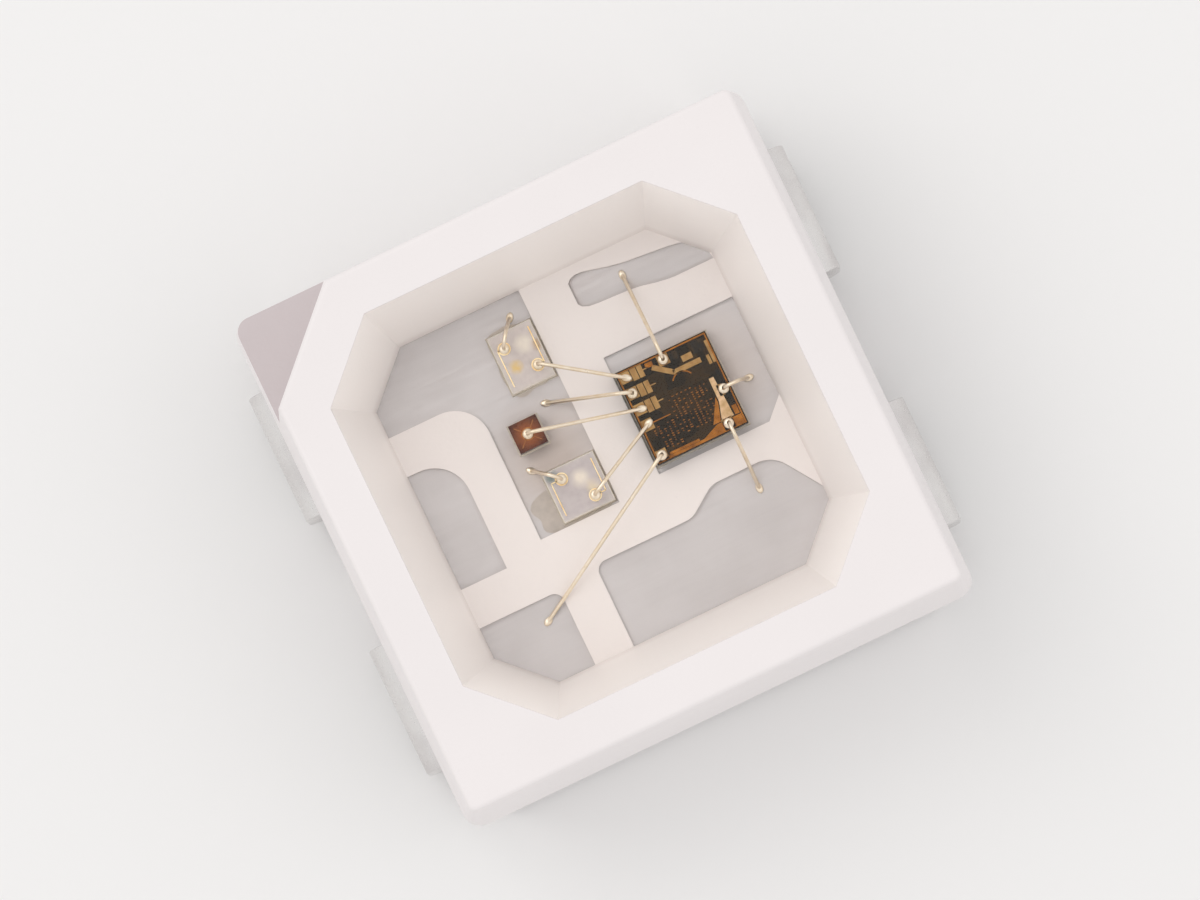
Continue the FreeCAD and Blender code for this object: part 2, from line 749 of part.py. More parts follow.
def controller_pad(x, row=None, bottom=False):
    """A pad along an edge of the controller, in a row counted down from its top."""
    y = "Places.pad_bottom" if bottom else f"Places.pad_top - {row} * Sizes.pad_pitch"
    return Bond(x, y, "Places.controller_top")


def colour_pad(die, side):
    """One of a green or blue die's two pads, which lie across its middle from each other."""
    return Bond(f"Places.{die}_x + {side} * Sizes.colour_pad_offset",
                f"Places.{die}_y - {side} * Sizes.colour_pad_rise", "Places.colour_top")


def on_lead(x, y):
    """A place on the leads' upper face."""
    return Bond(x, y, "Sizes.lead_plane_height")


def wire_ends():
    """Where each wire starts, with its ball, and ends, with its stitch."""
    return {
        "green_supply_wire": (
            colour_pad("green", -1),
            on_lead("-Sizes.green_bond_offset", "Places.floor_top - Sizes.bond_margin")),
        "green_drive_wire": (
            colour_pad("green", 1),
            controller_pad("Places.pad_left", row=0)),
        "controller_supply_wire": (
            controller_pad("Places.pad_left", row=1),
            on_lead("Places.column_right - Sizes.bond_margin", "Sizes.supply_bond_rise")),
        "red_drive_wire": (
            Bond("Places.red_x", "Places.red_y", "Places.red_top"),
            controller_pad("Places.pad_left", row=2)),
        "blue_drive_wire": (
            colour_pad("blue", 1),
            controller_pad("Places.pad_left", row=3)),
        "blue_supply_wire": (
            colour_pad("blue", -1),
            on_lead("Places.column_left + Sizes.bond_margin", "Sizes.blue_bond_rise")),
        "data_output_wire": (
            controller_pad("Places.pad_left", bottom=True),
            on_lead("Places.output_right - Sizes.bond_margin", "Places.output_top - Sizes.bond_margin")),
        "data_input_wire": (
            controller_pad("Places.controller_x", row=0),
            on_lead("Places.controller_x", "Places.input_bottom + Sizes.bond_margin")),
        "ground_wire": (
            controller_pad("Places.pad_right", row=3),
            on_lead("Places.floor_right - Sizes.bond_margin", "Places.pad_top - 3 * Sizes.pad_pitch")),
        "second_ground_wire": (
            controller_pad("Places.controller_x + Sizes.second_ground_offset", bottom=True),
            on_lead("Places.controller_x + Sizes.second_ground_offset",
                    "-Sizes.ground_right_drop - Sizes.bond_margin")),
    }


def make_wire(document, name, start, end):
    """A round wire from a ball, up and over in its own upright plane, down to a flat stitch."""
    body = document.addObject("PartDesign::Body", name)
    run_x = f"({end.x} - ({start.x}))"
    run_y = f"({end.y} - ({start.y}))"
    run = f"hypot({run_x}; {run_y})"

    ball_outline = new_sketch(body, "BallOutline", "XY_Plane", start.z)
    draw(ball_outline, ring("Sizes.ball_radius", BALL_SIDES))
    pad(body, "Ball", ball_outline, "Sizes.ball_height", narrowing="Sizes.ball_draft")

    path = new_sketch(body, "Path", "XZ_Plane")
    top = f"{start.z} + Sizes.loop_rise"
    draw(path, [
        Corner("0", start.z),
        Corner("0", top, "Sizes.loop_bend"),
        Corner("Sizes.loop_shoulder", top, "Sizes.loop_bend"),
        Corner(run, f"{end.z} + Sizes.stitch_height"),
    ], closed=False)
    section = new_sketch(body, "Section", "XY_Plane", start.z)
    draw(section, ring("Sizes.wire_diameter / 2", WIRE_SIDES))
    pipe = body.newObject("PartDesign::AdditivePipe", "Loop")
    pipe.Profile = section
    pipe.Spine = (path, [""])
    document.recompute()

    stitch_outline = new_sketch(body, "StitchOutline", "XY_Plane", end.z)
    heel = f"{run} - Sizes.wire_diameter"
    toe = f"{heel} + Sizes.stitch_length"
    draw(stitch_outline, rectangle(heel, toe, "-Sizes.stitch_width / 2", "Sizes.stitch_width / 2"))
    pad(body, "Stitch", stitch_outline, "Sizes.stitch_height")

    place(body, start.x, start.y)
    body.setExpression(".Placement.Rotation.Axis.z", "1")
    body.setExpression("Placement.Rotation.Angle", f"atan2({run_y}; {run_x})")
    return body


def make_wires(document):
    """All the bond wires."""
    return [make_wire(document, name, start, end) for name, (start, end) in wire_ends().items()]


# Clear filling

def make_dish(document):
    """The shallow round dish that the filling's top sinks into, out past the corners of the opening."""
    body = document.addObject("PartDesign::Body", "Dish")
    profile = new_sketch(body, "DishProfile", "XZ_Plane")
    reach = profile.evalExpression("Places.dish_reach")
    rim = profile.evalExpression("Sizes.overall_height")
    sag = profile.evalExpression("Sizes.dish_sag")
    radius = (reach ** 2 + sag ** 2) / (2 * sag)
    lowest = FreeCAD.Vector(0, rim - sag, 0)
    lowest_angle = -math.pi / 2
    circle = Part.Circle(lowest + FreeCAD.Vector(0, radius, 0), UP, radius)
    dish = Part.ArcOfCircle(circle, lowest_angle, lowest_angle + math.asin(reach / radius))
    lid = Part.LineSegment(FreeCAD.Vector(reach, rim, 0), FreeCAD.Vector(0, rim, 0))
    axis = Part.LineSegment(FreeCAD.Vector(0, rim, 0), lowest)
    arc_index, lid_index, axis_index = profile.addGeometry([dish, lid, axis], False)
    lid_end = Corner("Places.dish_reach", "Sizes.overall_height")
    tie(profile, [
        (Sketcher.Constraint("Coincident", arc_index, Point.END, lid_index, Point.START), None),
        (Sketcher.Constraint("Coincident", lid_index, Point.END, axis_index, Point.START), None),
        (Sketcher.Constraint("Coincident", axis_index, Point.END, arc_index, Point.START), None),
        (Sketcher.Constraint("PointOnObject", arc_index, Point.CENTRE, Axis.UPRIGHT), None),
        (Sketcher.Constraint("Vertical", axis_index), None),
        (Sketcher.Constraint("Horizontal", lid_index), None),
        (Sketcher.Constraint("PointOnObject", axis_index, Point.START, Axis.UPRIGHT), None),
        *tied_place(profile, lid_index, Point.START, lid_end),
        tied_value(profile, "Sizes.dish_sag", "DistanceY", axis_index, Point.END, axis_index, Point.START),
    ])
    turn(body, "Dish", profile)
    return body


def make_encapsulant(document, cavity, inner_pieces):
    """The clear filling, cast into the cavity round everything that lies in it."""
    return without(document, "encapsulant", cavity, [make_dish(document), *inner_pieces])


# Whole part

def without(document, name, base, pieces):
    """The base with the space of the other pieces taken out."""
    taken = document.addObject("Part::MultiFuse", f"{name}_space")
    taken.Shapes = pieces
    cut = document.addObject("Part::Cut", name)
    cut.Base = base
    cut.Tool = taken
    document.recompute()
    return cut


def check(document, pieces):
    """Stop if any object failed, or any piece is not one valid solid."""
    document.recompute()
    for item in document.Objects:
        if "Invalid" in item.State or "Error" in item.State:
            raise RuntimeError(f"{item.Label} failed: {item.State}")
    for piece in pieces:
        shape = piece.Shape
        if shape.isNull() or not shape.isValid() or len(shape.Solids) != 1:
            raise RuntimeError(f"{piece.Label} is not one valid solid")


def write(pieces):
    """One file a piece, named by its label."""
    os.makedirs("parts", exist_ok=True)
    for piece in pieces:
        piece.Shape.exportStep(f"parts/{piece.Label}.step")


def main():
    document = FreeCAD.newDocument("Light")
    fill_sheets(document)
    leads = make_leads(document)
    dies = make_dies(document)
    wires = make_wires(document)
    cavity = make_cavity(document)
    housing = make_housing(document, cavity, leads)
    encapsulant = make_encapsulant(document, cavity, dies + wires)
    pieces = [housing, encapsulant, *leads, *dies, *wires]
    check(document, pieces)
    write(pieces)


main()
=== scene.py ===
"""The looks of a surface-mount colour light with its controller inside.

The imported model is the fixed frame, and its single body is called root. Each part of the light is
a class that dresses its solids, or builds the finer piece that stands for one. Sizes are
millimetres and angles are degrees, and MM turns them into the frame's metres.
"""

import logging
import math
from collections.abc import Sequence
from dataclasses import dataclass, field, replace
from enum import Enum

import bmesh
import bpy
from mathutils import Matrix, Vector


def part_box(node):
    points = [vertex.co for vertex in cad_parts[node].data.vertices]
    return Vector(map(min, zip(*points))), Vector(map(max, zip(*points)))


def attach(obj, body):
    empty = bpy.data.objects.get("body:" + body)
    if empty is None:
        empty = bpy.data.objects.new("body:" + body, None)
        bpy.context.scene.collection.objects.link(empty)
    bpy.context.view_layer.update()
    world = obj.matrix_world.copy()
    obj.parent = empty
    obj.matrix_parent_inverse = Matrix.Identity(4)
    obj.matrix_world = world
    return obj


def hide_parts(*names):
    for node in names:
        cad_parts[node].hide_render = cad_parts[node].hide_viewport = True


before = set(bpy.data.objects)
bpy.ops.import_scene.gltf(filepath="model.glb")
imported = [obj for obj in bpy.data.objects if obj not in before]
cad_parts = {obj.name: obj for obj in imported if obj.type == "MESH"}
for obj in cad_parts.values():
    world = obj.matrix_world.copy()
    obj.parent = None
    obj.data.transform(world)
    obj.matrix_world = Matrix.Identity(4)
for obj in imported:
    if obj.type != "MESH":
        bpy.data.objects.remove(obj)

LOG = logging.getLogger("light")
MM = 0.001
BODY = "root"
MERGE_REACH = 0.0001
FLAT_ANGLE = math.radians(0.5)
SHARP_ANGLE = math.radians(24)
EDGE_ANGLE = math.radians(50)
DISH_EDGE_ANGLE = math.radians(25)
WEAR_SEGMENTS = 2
FULL_WEIGHT = 100
LEAST_UP = 0.7

Colour = tuple[float, float, float]
Place = tuple[float, float]
Span = tuple[float, float]
Bar = tuple[float, float, float, float]
Socket = bpy.types.NodeSocket
Value = Socket | float


class Slot(Enum):
    """The record's material slots."""

    MOULDING = "white_moulding"
    FILLING = "clear_filling"
    LEAD = "silvered_lead"
    SILICON = "controller_silicon"
    RED_CRYSTAL = "red_die_crystal"
    CLEAR_CRYSTAL = "clear_die_crystal"
    GLUE = "die_glue"
    WIRE = "gold_wire"


# Trees of nodes

class NodeDesk:
    """Adds nodes to one tree and joins them."""

    def __init__(self, tree: bpy.types.NodeTree) -> None:
        """Start on an empty or a given tree."""
        self.tree = tree

    def add(self, kind: str, **settings: object) -> bpy.types.Node:
        """Add a node.

        Args:
            kind: Blender's name of the node.
            settings: Values for the node's properties.

        Returns:
            The new node.
        """
        node = self.tree.nodes.new(kind)
        for name, value in settings.items():
            setattr(node, name, value)
        return node

    def feed(self, target: Socket, value: object) -> None:
        """Link a socket to an input, or write a plain value on it.

        Args:
            target: The input.
            value: Another node's output, or a number, colour or vector.
        """
        if isinstance(value, bpy.types.NodeSocket):
            self.tree.links.new(value, target)
        else:
            target.default_value = value

    def calculate(self, operation: str, *values: Value, clamp: bool = False) -> Socket:
        """Work out a number.

        Args:
            operation: Blender's name of the operation.
            values: The operands, sockets or numbers.
            clamp: Whether the result stays between 0 and 1.

        Returns:
            The result's socket.
        """
        node = self.add("ShaderNodeMath", operation=operation, use_clamp=clamp)
        for target, value in zip(node.inputs, values):
            self.feed(target, value)
        return node.outputs[0]

    def product(self, *values: Value) -> Socket:
        """Multiply numbers with each other, from the first to the last.

        Args:
            values: Two or more sockets or numbers.

        Returns:
            The product's socket.
        """
        result = values[0]
        for value in values[1:]:
            result = self.calculate("MULTIPLY", result, value)
        return result

    def over(self, value: Value, limit: float) -> Socket:
        """1 where a value is over a limit, and 0 elsewhere."""
        return self.calculate("GREATER_THAN", value, limit)

    def under(self, value: Value, limit: float) -> Socket:
        """1 where a value is under a limit, and 0 elsewhere."""
        return self.calculate("LESS_THAN", value, limit)

    def stretch(self, vector: Socket, scale: Sequence[float]) -> Socket:
        """Scale a vector along each axis.

        Args:
            vector: The vector's socket.
            scale: One factor for each axis.

        Returns:
            The scaled vector's socket.
        """
        node = self.add("ShaderNodeVectorMath", operation="MULTIPLY")
        self.feed(node.inputs[0], vector)
        node.inputs[1].default_value = scale
        return node.outputs[0]

    def noise(self, vector: Socket, scale: float, detail: float = 3.0) -> Socket:
        """Cloudy noise.

        Args:
            vector: Where it is read, in millimetres.
            scale: Clouds in a millimetre.
            detail: How many finer layers it has.

        Returns:
            A factor from 0 to 1.
        """
        node = self.add("ShaderNodeTexNoise")
        self.feed(node.inputs["Vector"], vector)
        node.inputs["Scale"].default_value = scale
        node.inputs["Detail"].default_value = detail
        return node.outputs["Fac"]

    def patches(self, vector: Socket, scale: float) -> Socket:
        """Square-cornered patches, each with one value of its own.

        Args:
            vector: Where they are read, in millimetres.
            scale: Patches in a millimetre.

        Returns:
            A factor from 0 to 1 that is the same all over a patch.
        """
        node = self.add("ShaderNodeTexVoronoi", distance="CHEBYCHEV")
        self.feed(node.inputs["Vector"], vector)
        node.inputs["Scale"].default_value = scale
        split = self.add("ShaderNodeSeparateColor")
        self.feed(split.inputs[0], node.outputs["Color"])
        return split.outputs[0]

    def spread(self, factor: Socket, first: float, last: float, low: float, high: float) -> Socket:
        """Map one range onto another, and hold it at its ends.

        Args:
            factor: The value.
            first: The value that gives low.
            last: The value that gives high.
            low: The result at first.
            high: The result at last.

        Returns:
            The mapped value.
        """
        node = self.add("ShaderNodeMapRange")
        for target, value in zip(node.inputs, (factor, first, last, low, high)):
            self.feed(target, value)
        return node.outputs[0]

    def blend(self, factor: object, first: object, second: object) -> Socket:
        """Mix two colours.

        Args:
            factor: The share of the second, a socket or a number.
            first: A colour or a socket.
            second: A colour or a socket.

        Returns:
            The mixed colour's socket.
        """
        node = self.add("ShaderNodeMix", data_type="RGBA")
        floats = [socket for socket in node.inputs if socket.type == "VALUE"]
        colours = [socket for socket in node.inputs if socket.type == "RGBA"]
        self.feed(floats[0], factor)
        for target, value in zip(colours, (first, second)):
            self.feed(target, value if isinstance(value, bpy.types.NodeSocket) else opaque(value))
        return next(socket for socket in node.outputs if socket.type == "RGBA")


def opaque(colour: Colour) -> tuple[float, float, float, float]:
    """The colour with an alpha of 1."""
    return (*colour, 1.0)


def times(colour: Colour, share: float) -> Colour:
    """The colour with each part multiplied by a share."""
    return tuple(share * part for part in colour)


class Canvas:
    """One material while it is painted: its nodes, its main shader, and the place in it."""

    def __init__(self, name: str) -> None:
        """Make the material with a Principled shader.

        Args:
            name: The material's name.
        """
        self.material = bpy.data.materials.new(name)
        self.material.use_nodes = True
        self.desk = NodeDesk(self.material.node_tree)
        self.shader = self.material.node_tree.nodes["Principled BSDF"]
        self.output = self.material.node_tree.nodes["Material Output"]
        metres = self.desk.add("ShaderNodeTexCoord").outputs["Object"]
        self.place = self.desk.stretch(metres, (1 / MM,) * 3)
        axes = self.desk.add("ShaderNodeSeparateXYZ")
        self.desk.feed(axes.inputs[0], self.place)
        self.x, self.y, self.z = axes.outputs

    def put(self, **values: object) -> None:
        """Set the main shader's inputs.

        Args:
            values: A socket or a plain value for each input, named with underscores for spaces.
        """
        for name, value in values.items():
            self.desk.feed(self.shader.inputs[name.replace("_", " ")], value)

    def spot(self, middle: Place, radius: float, softness: float = 0.4) -> Socket:
        """A round spot with a soft edge.

        Args:
            middle: Its centre, in millimetres.
            radius: Its radius.
            softness: The share of the radius over which it fades.

        Returns:
            A factor that is 1 on the spot and 0 away from it.
        """
        desk = self.desk
        offsets = [desk.calculate("SUBTRACT", axis, start)
                   for axis, start in zip((self.x, self.y), middle)]
        squares = [desk.product(offset, offset) for offset in offsets]
        reach = desk.calculate("SQRT", desk.calculate("ADD", *squares))
        return desk.spread(reach, radius * (1 - softness), radius, 1.0, 0.0)

    def faces_up(self) -> Socket:
        """Find the surfaces that face up.

        Returns:
            A factor that is 1 on them and 0 elsewhere.
        """
        axes = self.desk.add("ShaderNodeSeparateXYZ")
        self.desk.feed(axes.inputs[0], self.desk.add("ShaderNodeNewGeometry").outputs["Normal"])
        return self.desk.over(axes.outputs[2], LEAST_UP)

    def emboss(self, height: Socket, depth: float) -> None:
        """Raise and lower the surface as the light sees it.

        Args:
            height: A factor from 0 to 1.
            depth: How deep that range is, in millimetres.
        """
        bump = self.desk.add("ShaderNodeBump")
        bump.inputs["Distance"].default_value = depth * MM
        self.desk.feed(bump.inputs["Height"], height)
        self.desk.feed(self.shader.inputs["Normal"], bump.outputs[0])


# Finishes

@dataclass(frozen=True, kw_only=True)
class Finish:
    """A finish with a name, a colour, and a roughness that wanders with a factor.

    The roughness gains the first number of wander at the low end of the span, and the second at
    its high end. The relief is how deep the surface's unevenness is, in millimetres.
    """

    name: str
    colour: Colour
    roughness: float
    wander: Span
    span: Span = (0.3, 0.7)
    relief: float

    def material(self) -> bpy.types.Material:
        """Build the finish's material.

        Returns:
            The painted material.
        """
        canvas = Canvas(self.name)
        self.paint(canvas)
        return canvas.material

    def paint(self, canvas: Canvas) -> None:
        """Paint the canvas.

        Args:
            canvas: The material to paint.

        Raises:
            NotImplementedError: Always, because each finish paints in its own way.
        """
        raise NotImplementedError(self.name)

    def uneven_roughness(self, canvas: Canvas, factor: Socket) -> Socket:
        """The roughness as it wanders.

        Args:
            canvas: The material.
            factor: What it wanders with.

        Returns:
            The roughness's socket.
        """
        low, high = (self.roughness + change for change in self.wander)
        return canvas.desk.spread(factor, *self.span, low, high)


@dataclass(frozen=True, kw_only=True)
class MouldedWhite(Finish):
    """White moulded plastic; the cavity walls under the clear filling are painted lighter and
    warmer as painted light, and the ledge is painted darker as painted shadow.
    """

    # Painted light: the cavity walls are painted lighter and warmer than the moulding's own colour.
    painted_light_wall_colour: Colour
    rib_colour: Colour
    # Painted shadow: the notch ledge is painted darker than the moulding.
    ledge_shadow_colour: Colour
    cavity_half: float
    cavity_corner: float
    cavity_top: float
    cavity_bottom: float
    rib_level: float
    ledge_level: float
    ledge_edge: float
    ledge_reach: float = 0.02
    rib_fade: float = 0.1
    cloud_scale: float = 1.3
    cloud_shade: float = 0.95
    grain_scale: float = 38.0
    speck_span: Span = (0.62, 0.78)
    speck_share: float = 0.10
    speck_shade: float = 0.8
    roughness: float = 0.48
    wander: Span = (-0.07, 0.07)
    relief: float = 0.0012

    def inside(self, canvas: Canvas) -> Socket:
        """The part of the moulding that lies inside the cavity.

        Args:
            canvas: The material.

        Returns:
            A factor of 1 inside and 0 outside.
        """
        desk = canvas.desk
        across = desk.calculate("ABSOLUTE", canvas.x)
        along = desk.calculate("ABSOLUTE", canvas.y)
        return desk.product(
            desk.under(desk.calculate("MAXIMUM", across, along), self.cavity_half),
            desk.under(desk.calculate("ADD", across, along), self.cavity_corner),
            desk.under(canvas.z, self.cavity_top),
            desk.over(canvas.z, self.cavity_bottom),
        )

    def ledge(self, canvas: Canvas) -> Socket:
        """The flat of the corner notch.

        Args:
            canvas: The material.

        Returns:
            A factor of 1 on the flat.
        """
        desk = canvas.desk
        return desk.product(
            desk.under(canvas.x, -self.ledge_edge),
            desk.over(canvas.y, self.ledge_edge),
            desk.calculate("COMPARE", canvas.z, self.ledge_level, self.ledge_reach),
            canvas.faces_up(),
        )

    def paint(self, canvas: Canvas) -> None:
        """Paint a matt moulded skin with faint clouds, the painted light that makes the cavity
        walls lighter and warmer, and the painted shadow on the ledge.

        Args:
            canvas: The material to paint.
        """
        desk = canvas.desk
        clouds = desk.noise(canvas.place, self.cloud_scale)
        grain = desk.noise(canvas.place, self.grain_scale, detail=5.0)
        outside = desk.blend(clouds, self.colour, times(self.colour, self.cloud_shade))
        height = desk.spread(canvas.z, self.rib_level, self.rib_level + self.rib_fade, 0.0, 1.0)
        # Painted light: from the rib colour at the floor, the cavity walls grow lighter and warmer
        # upwards, making up for the light that their steep faces lose under the filling.
        cavity = desk.blend(height, self.rib_colour, self.painted_light_wall_colour)
        skin = desk.blend(self.inside(canvas), outside, cavity)
        # Painted shadow: the notch ledge is painted darker, as if shaded.
        skin = desk.blend(self.ledge(canvas), skin, self.ledge_shadow_colour)
        specks = desk.spread(grain, *self.speck_span, 0.0, self.speck_share)
        canvas.put(
            Base_Color=desk.blend(specks, skin, times(self.colour, self.speck_shade)),
            Roughness=self.uneven_roughness(canvas, grain),
        )
        canvas.emboss(desk.calculate("ADD", grain, clouds), self.relief)


@dataclass(frozen=True, kw_only=True)
class RolledSilver(Finish):
    """Silver plating on rolled strip, matt on the islands, with fine grain along the strip."""

    tarnish_colour: Colour
    # The colour of darker, browner round patches on the plating, and where they lie.
    darker_patch_colour: Colour
    darker_patches: tuple[tuple[Place, float], ...]
    terminal_colour: Colour
    terminal_start: float
    terminal_polish: float = 0.24
    grain_scale: tuple[float, float, float] = (2.5, 55.0, 55.0)
    cloud_scale: float = 2.2
    pit_scale: float = 60.0
    pit_share: float = 0.6
    tarnish_span: Span = (0.42, 0.68)
    tarnish_share: float = 0.8
    darker_patch_softness: float = 0.8
    darker_patch_share: float = 0.9
    roughness: float = 0.48
    wander: Span = (-0.04, 0.06)
    span: Span = (0.25, 0.75)
    relief: float = 0.0003

    def paint(self, canvas: Canvas) -> None:
        """Paint metal with drawn-out grain and soft tarnished clouds.

        Args:
            canvas: The material to paint.
        """
        desk = canvas.desk
        grain = desk.noise(desk.stretch(canvas.place, self.grain_scale), 1.0, detail=4.0)
        clouds = desk.noise(canvas.place, self.cloud_scale, detail=4.0)
        pits = desk.noise(canvas.place, self.pit_scale, detail=2.0)
        tarnish = desk.spread(clouds, *self.tarnish_span, 0.0, self.tarnish_share)
        plate = desk.blend(tarnish, self.colour, self.tarnish_colour)
        # Darker, browner round patches on the plating, one on the die column's island and one by
        # the controller die.
        for middle, radius in self.darker_patches:
            film = desk.product(canvas.spot(middle, radius, self.darker_patch_softness), self.darker_patch_share)
            plate = desk.blend(film, plate, self.darker_patch_colour)
        outside = desk.over(desk.calculate("ABSOLUTE", canvas.x), self.terminal_start)
        terminal = desk.blend(tarnish, self.terminal_colour, self.colour)
        polish = desk.product(outside, self.terminal_polish)
        canvas.put(
            Base_Color=desk.blend(outside, plate, terminal),
            Metallic=1.0,
            Roughness=desk.calculate("SUBTRACT", self.uneven_roughness(canvas, grain), polish),
        )
        canvas.emboss(desk.calculate("ADD", grain, desk.product(pits, self.pit_share)), self.relief)


@dataclass(frozen=True, kw_only=True)
class SawnSilicon(Finish):
    """A silicon die: blocks of circuit under glass on top, saw marks on its sides."""

    block_colour: Colour
    side_colour: Colour
    top: float
    top_margin: float = 0.002
    block_scale: float = 9.0
    block_span: Span = (0.45, 0.75)
    block_share: float = 0.7
    row_scale: tuple[float, float, float] = (34.0, 95.0, 1.0)
    row_share: float = 0.4
    row_shade: float = 0.35
    saw_stretch: tuple[float, float, float] = (14.0, 14.0, 3.0)
    saw_scale: float = 3.0
    saw_shade: float = 0.5
    index: float = 1.15
    roughness: float = 0.2
    wander: Span = (0.0, 0.12)
    span: Span = (0.0, 1.0)
    relief: float = 0.0006

    def paint(self, canvas: Canvas) -> None:
        """Paint the circuit's blocks and fine rows on top, and vertical saw marks below.

        Args:
            canvas: The material to paint.
        """
        desk = canvas.desk
        blocks = desk.patches(canvas.place, self.block_scale)
        rows = desk.patches(desk.stretch(canvas.place, self.row_scale), 1.0)
        share = desk.spread(blocks, *self.block_span, 0.0, self.block_share)
        wide = desk.blend(share, self.colour, self.block_colour)
        shade = desk.spread(rows, *self.span, 0.0, self.row_share)
        circuit = desk.blend(shade, wide, times(self.colour, self.row_shade))
        marks = desk.noise(desk.stretch(canvas.place, self.saw_stretch), self.saw_scale, detail=4.0)
        sides = desk.blend(marks, self.side_colour, times(self.side_colour, self.saw_shade))
        canvas.put(
            Base_Color=desk.blend(desk.over(canvas.z, self.top - self.top_margin), sides, circuit),
            Roughness=self.uneven_roughness(canvas, rows),
            IOR=self.index,
        )
        canvas.emboss(desk.calculate("ADD", rows, blocks), self.relief)


@dataclass(frozen=True, kw_only=True)
class DarkOxide(Finish):
    """The dark oxide over the controller's test structures, with fine lines showing through."""

    line_colour: Colour
    line_scale: tuple[float, float, float] = (95.0, 24.0, 1.0)
    line_span: Span = (0.55, 0.9)
    line_share: float = 0.6
    cloud_scale: float = 20.0
    cloud_shade: float = 1.8
    index: float = 1.2
    roughness: float = 0.3
    wander: Span = (0.0, 0.15)
    span: Span = (0.0, 1.0)
    relief: float = 0.0004

    def paint(self, canvas: Canvas) -> None:
        """Paint dark oxide with fine lines of metal below it.

        Args:
            canvas: The material to paint.
        """
        desk = canvas.desk
        rows = desk.patches(desk.stretch(canvas.place, self.line_scale), 1.0)
        clouds = desk.noise(canvas.place, self.cloud_scale)
        oxide = desk.blend(clouds, self.colour, times(self.colour, self.cloud_shade))
        share = desk.spread(rows, *self.line_span, 0.0, self.line_share)
        canvas.put(
            Base_Color=desk.blend(share, oxide, self.line_colour),
            Roughness=self.uneven_roughness(canvas, rows),
            IOR=self.index,
        )
        canvas.emboss(rows, self.relief)


@dataclass(frozen=True, kw_only=True)
class LitCrystal(Finish):
    """The red die: an orange-brown crystal, with a painted glow that lightens its middle and
    painted shade that darkens its corners.
    """

    # Painted shade: the dark colour painted on the corners.
    corner_shade_colour: Colour
    middle: Place
    half_side: float
    glow_reach: float = 1.25
    glow_softness: float = 0.75
    frost_scale: float = 45.0
    frost_share: float = 0.5
    index: float = 1.3
    roughness: float = 0.32
    wander: Span = (-0.08, 0.1)
    relief: float = 0.001

    def paint(self, canvas: Canvas) -> None:
        """Paint the painted glow of the middle out to the corners, which are painted dark as
        painted shade.

        Args:
            canvas: The material to paint.
        """
        desk = canvas.desk
        frost = desk.noise(canvas.place, self.frost_scale, detail=4.0)
        # Painted glow: the middle is painted lighter, fading out to the painted shade of the
        # corners.
        glow = canvas.spot(self.middle, self.glow_reach * self.half_side, self.glow_softness)
        change = desk.product(desk.calculate("SUBTRACT", frost, 0.5), self.frost_share)
        uneven = desk.calculate("ADD", glow, change, clamp=True)
        canvas.put(
            Base_Color=desk.blend(uneven, self.corner_shade_colour, self.colour),
            Roughness=self.uneven_roughness(canvas, frost),
            IOR=self.index,
        )
        canvas.emboss(frost, self.relief)


@dataclass(frozen=True)
class Glint:
    """A painted highlight on a clear die's top: a patch of colour, mostly pale, that stands in for
    light the die reflects.

    Its middle is measured from the die's, until the die's finish moves it to the frame's place.
    """

    middle: Place
    radius: float
    colour: Colour


@dataclass(frozen=True, kw_only=True)
class ClearCrystal(Finish):
    """The blue and green dies: clear crystal with a pale conducting film and painted highlights on
    top.
    """

    film_colour: Colour
    top: float
    glints: tuple[Glint, ...]
    top_margin: float = 0.001
    colour: Colour = (0.94, 0.92, 0.89)
    body_shade: float = 0.88
    film_shade: float = 0.8
    frost_scale: float = 30.0
    cloudy_span: Span = (0.4, 0.7)
    cloudy_share: float = 0.5
    glint_softness: float = 0.7
    glint_span: Span = (0.3, 0.6)
    least_glint: float = 0.5
    clearness: float = 0.55
    index: float = 1.15
    roughness: float = 0.08
    wander: Span = (0.0, 0.12)
    relief: float = 0.0006

    def paint(self, canvas: Canvas) -> None:
        """Paint a clear body with faint clouds, the film on its top, and the painted highlights.

        Args:
            canvas: The material to paint.
        """
        desk = canvas.desk
        frost = desk.noise(canvas.place, self.frost_scale, detail=4.0)
        cloudy = desk.spread(frost, *self.cloudy_span, 0.0, self.cloudy_share)
        body = desk.blend(cloudy, self.colour, times(self.colour, self.body_shade))
        film = desk.blend(cloudy, self.film_colour, times(self.film_colour, self.film_shade))
        # Painted highlights: soft patches of colour laid over the film.
        for glint in self.glints:
            spot = canvas.spot(glint.middle, glint.radius, self.glint_softness)
            broken = desk.spread(frost, *self.glint_span, self.least_glint, 1.0)
            film = desk.blend(desk.product(spot, broken), film, glint.colour)
        canvas.put(
            Base_Color=desk.blend(desk.over(canvas.z, self.top - self.top_margin), body, film),
            Roughness=self.uneven_roughness(canvas, frost),
            IOR=self.index,
            Transmission_Weight=self.clearness,
        )
        canvas.emboss(frost, self.relief)
        let_light_through(canvas, self.colour)


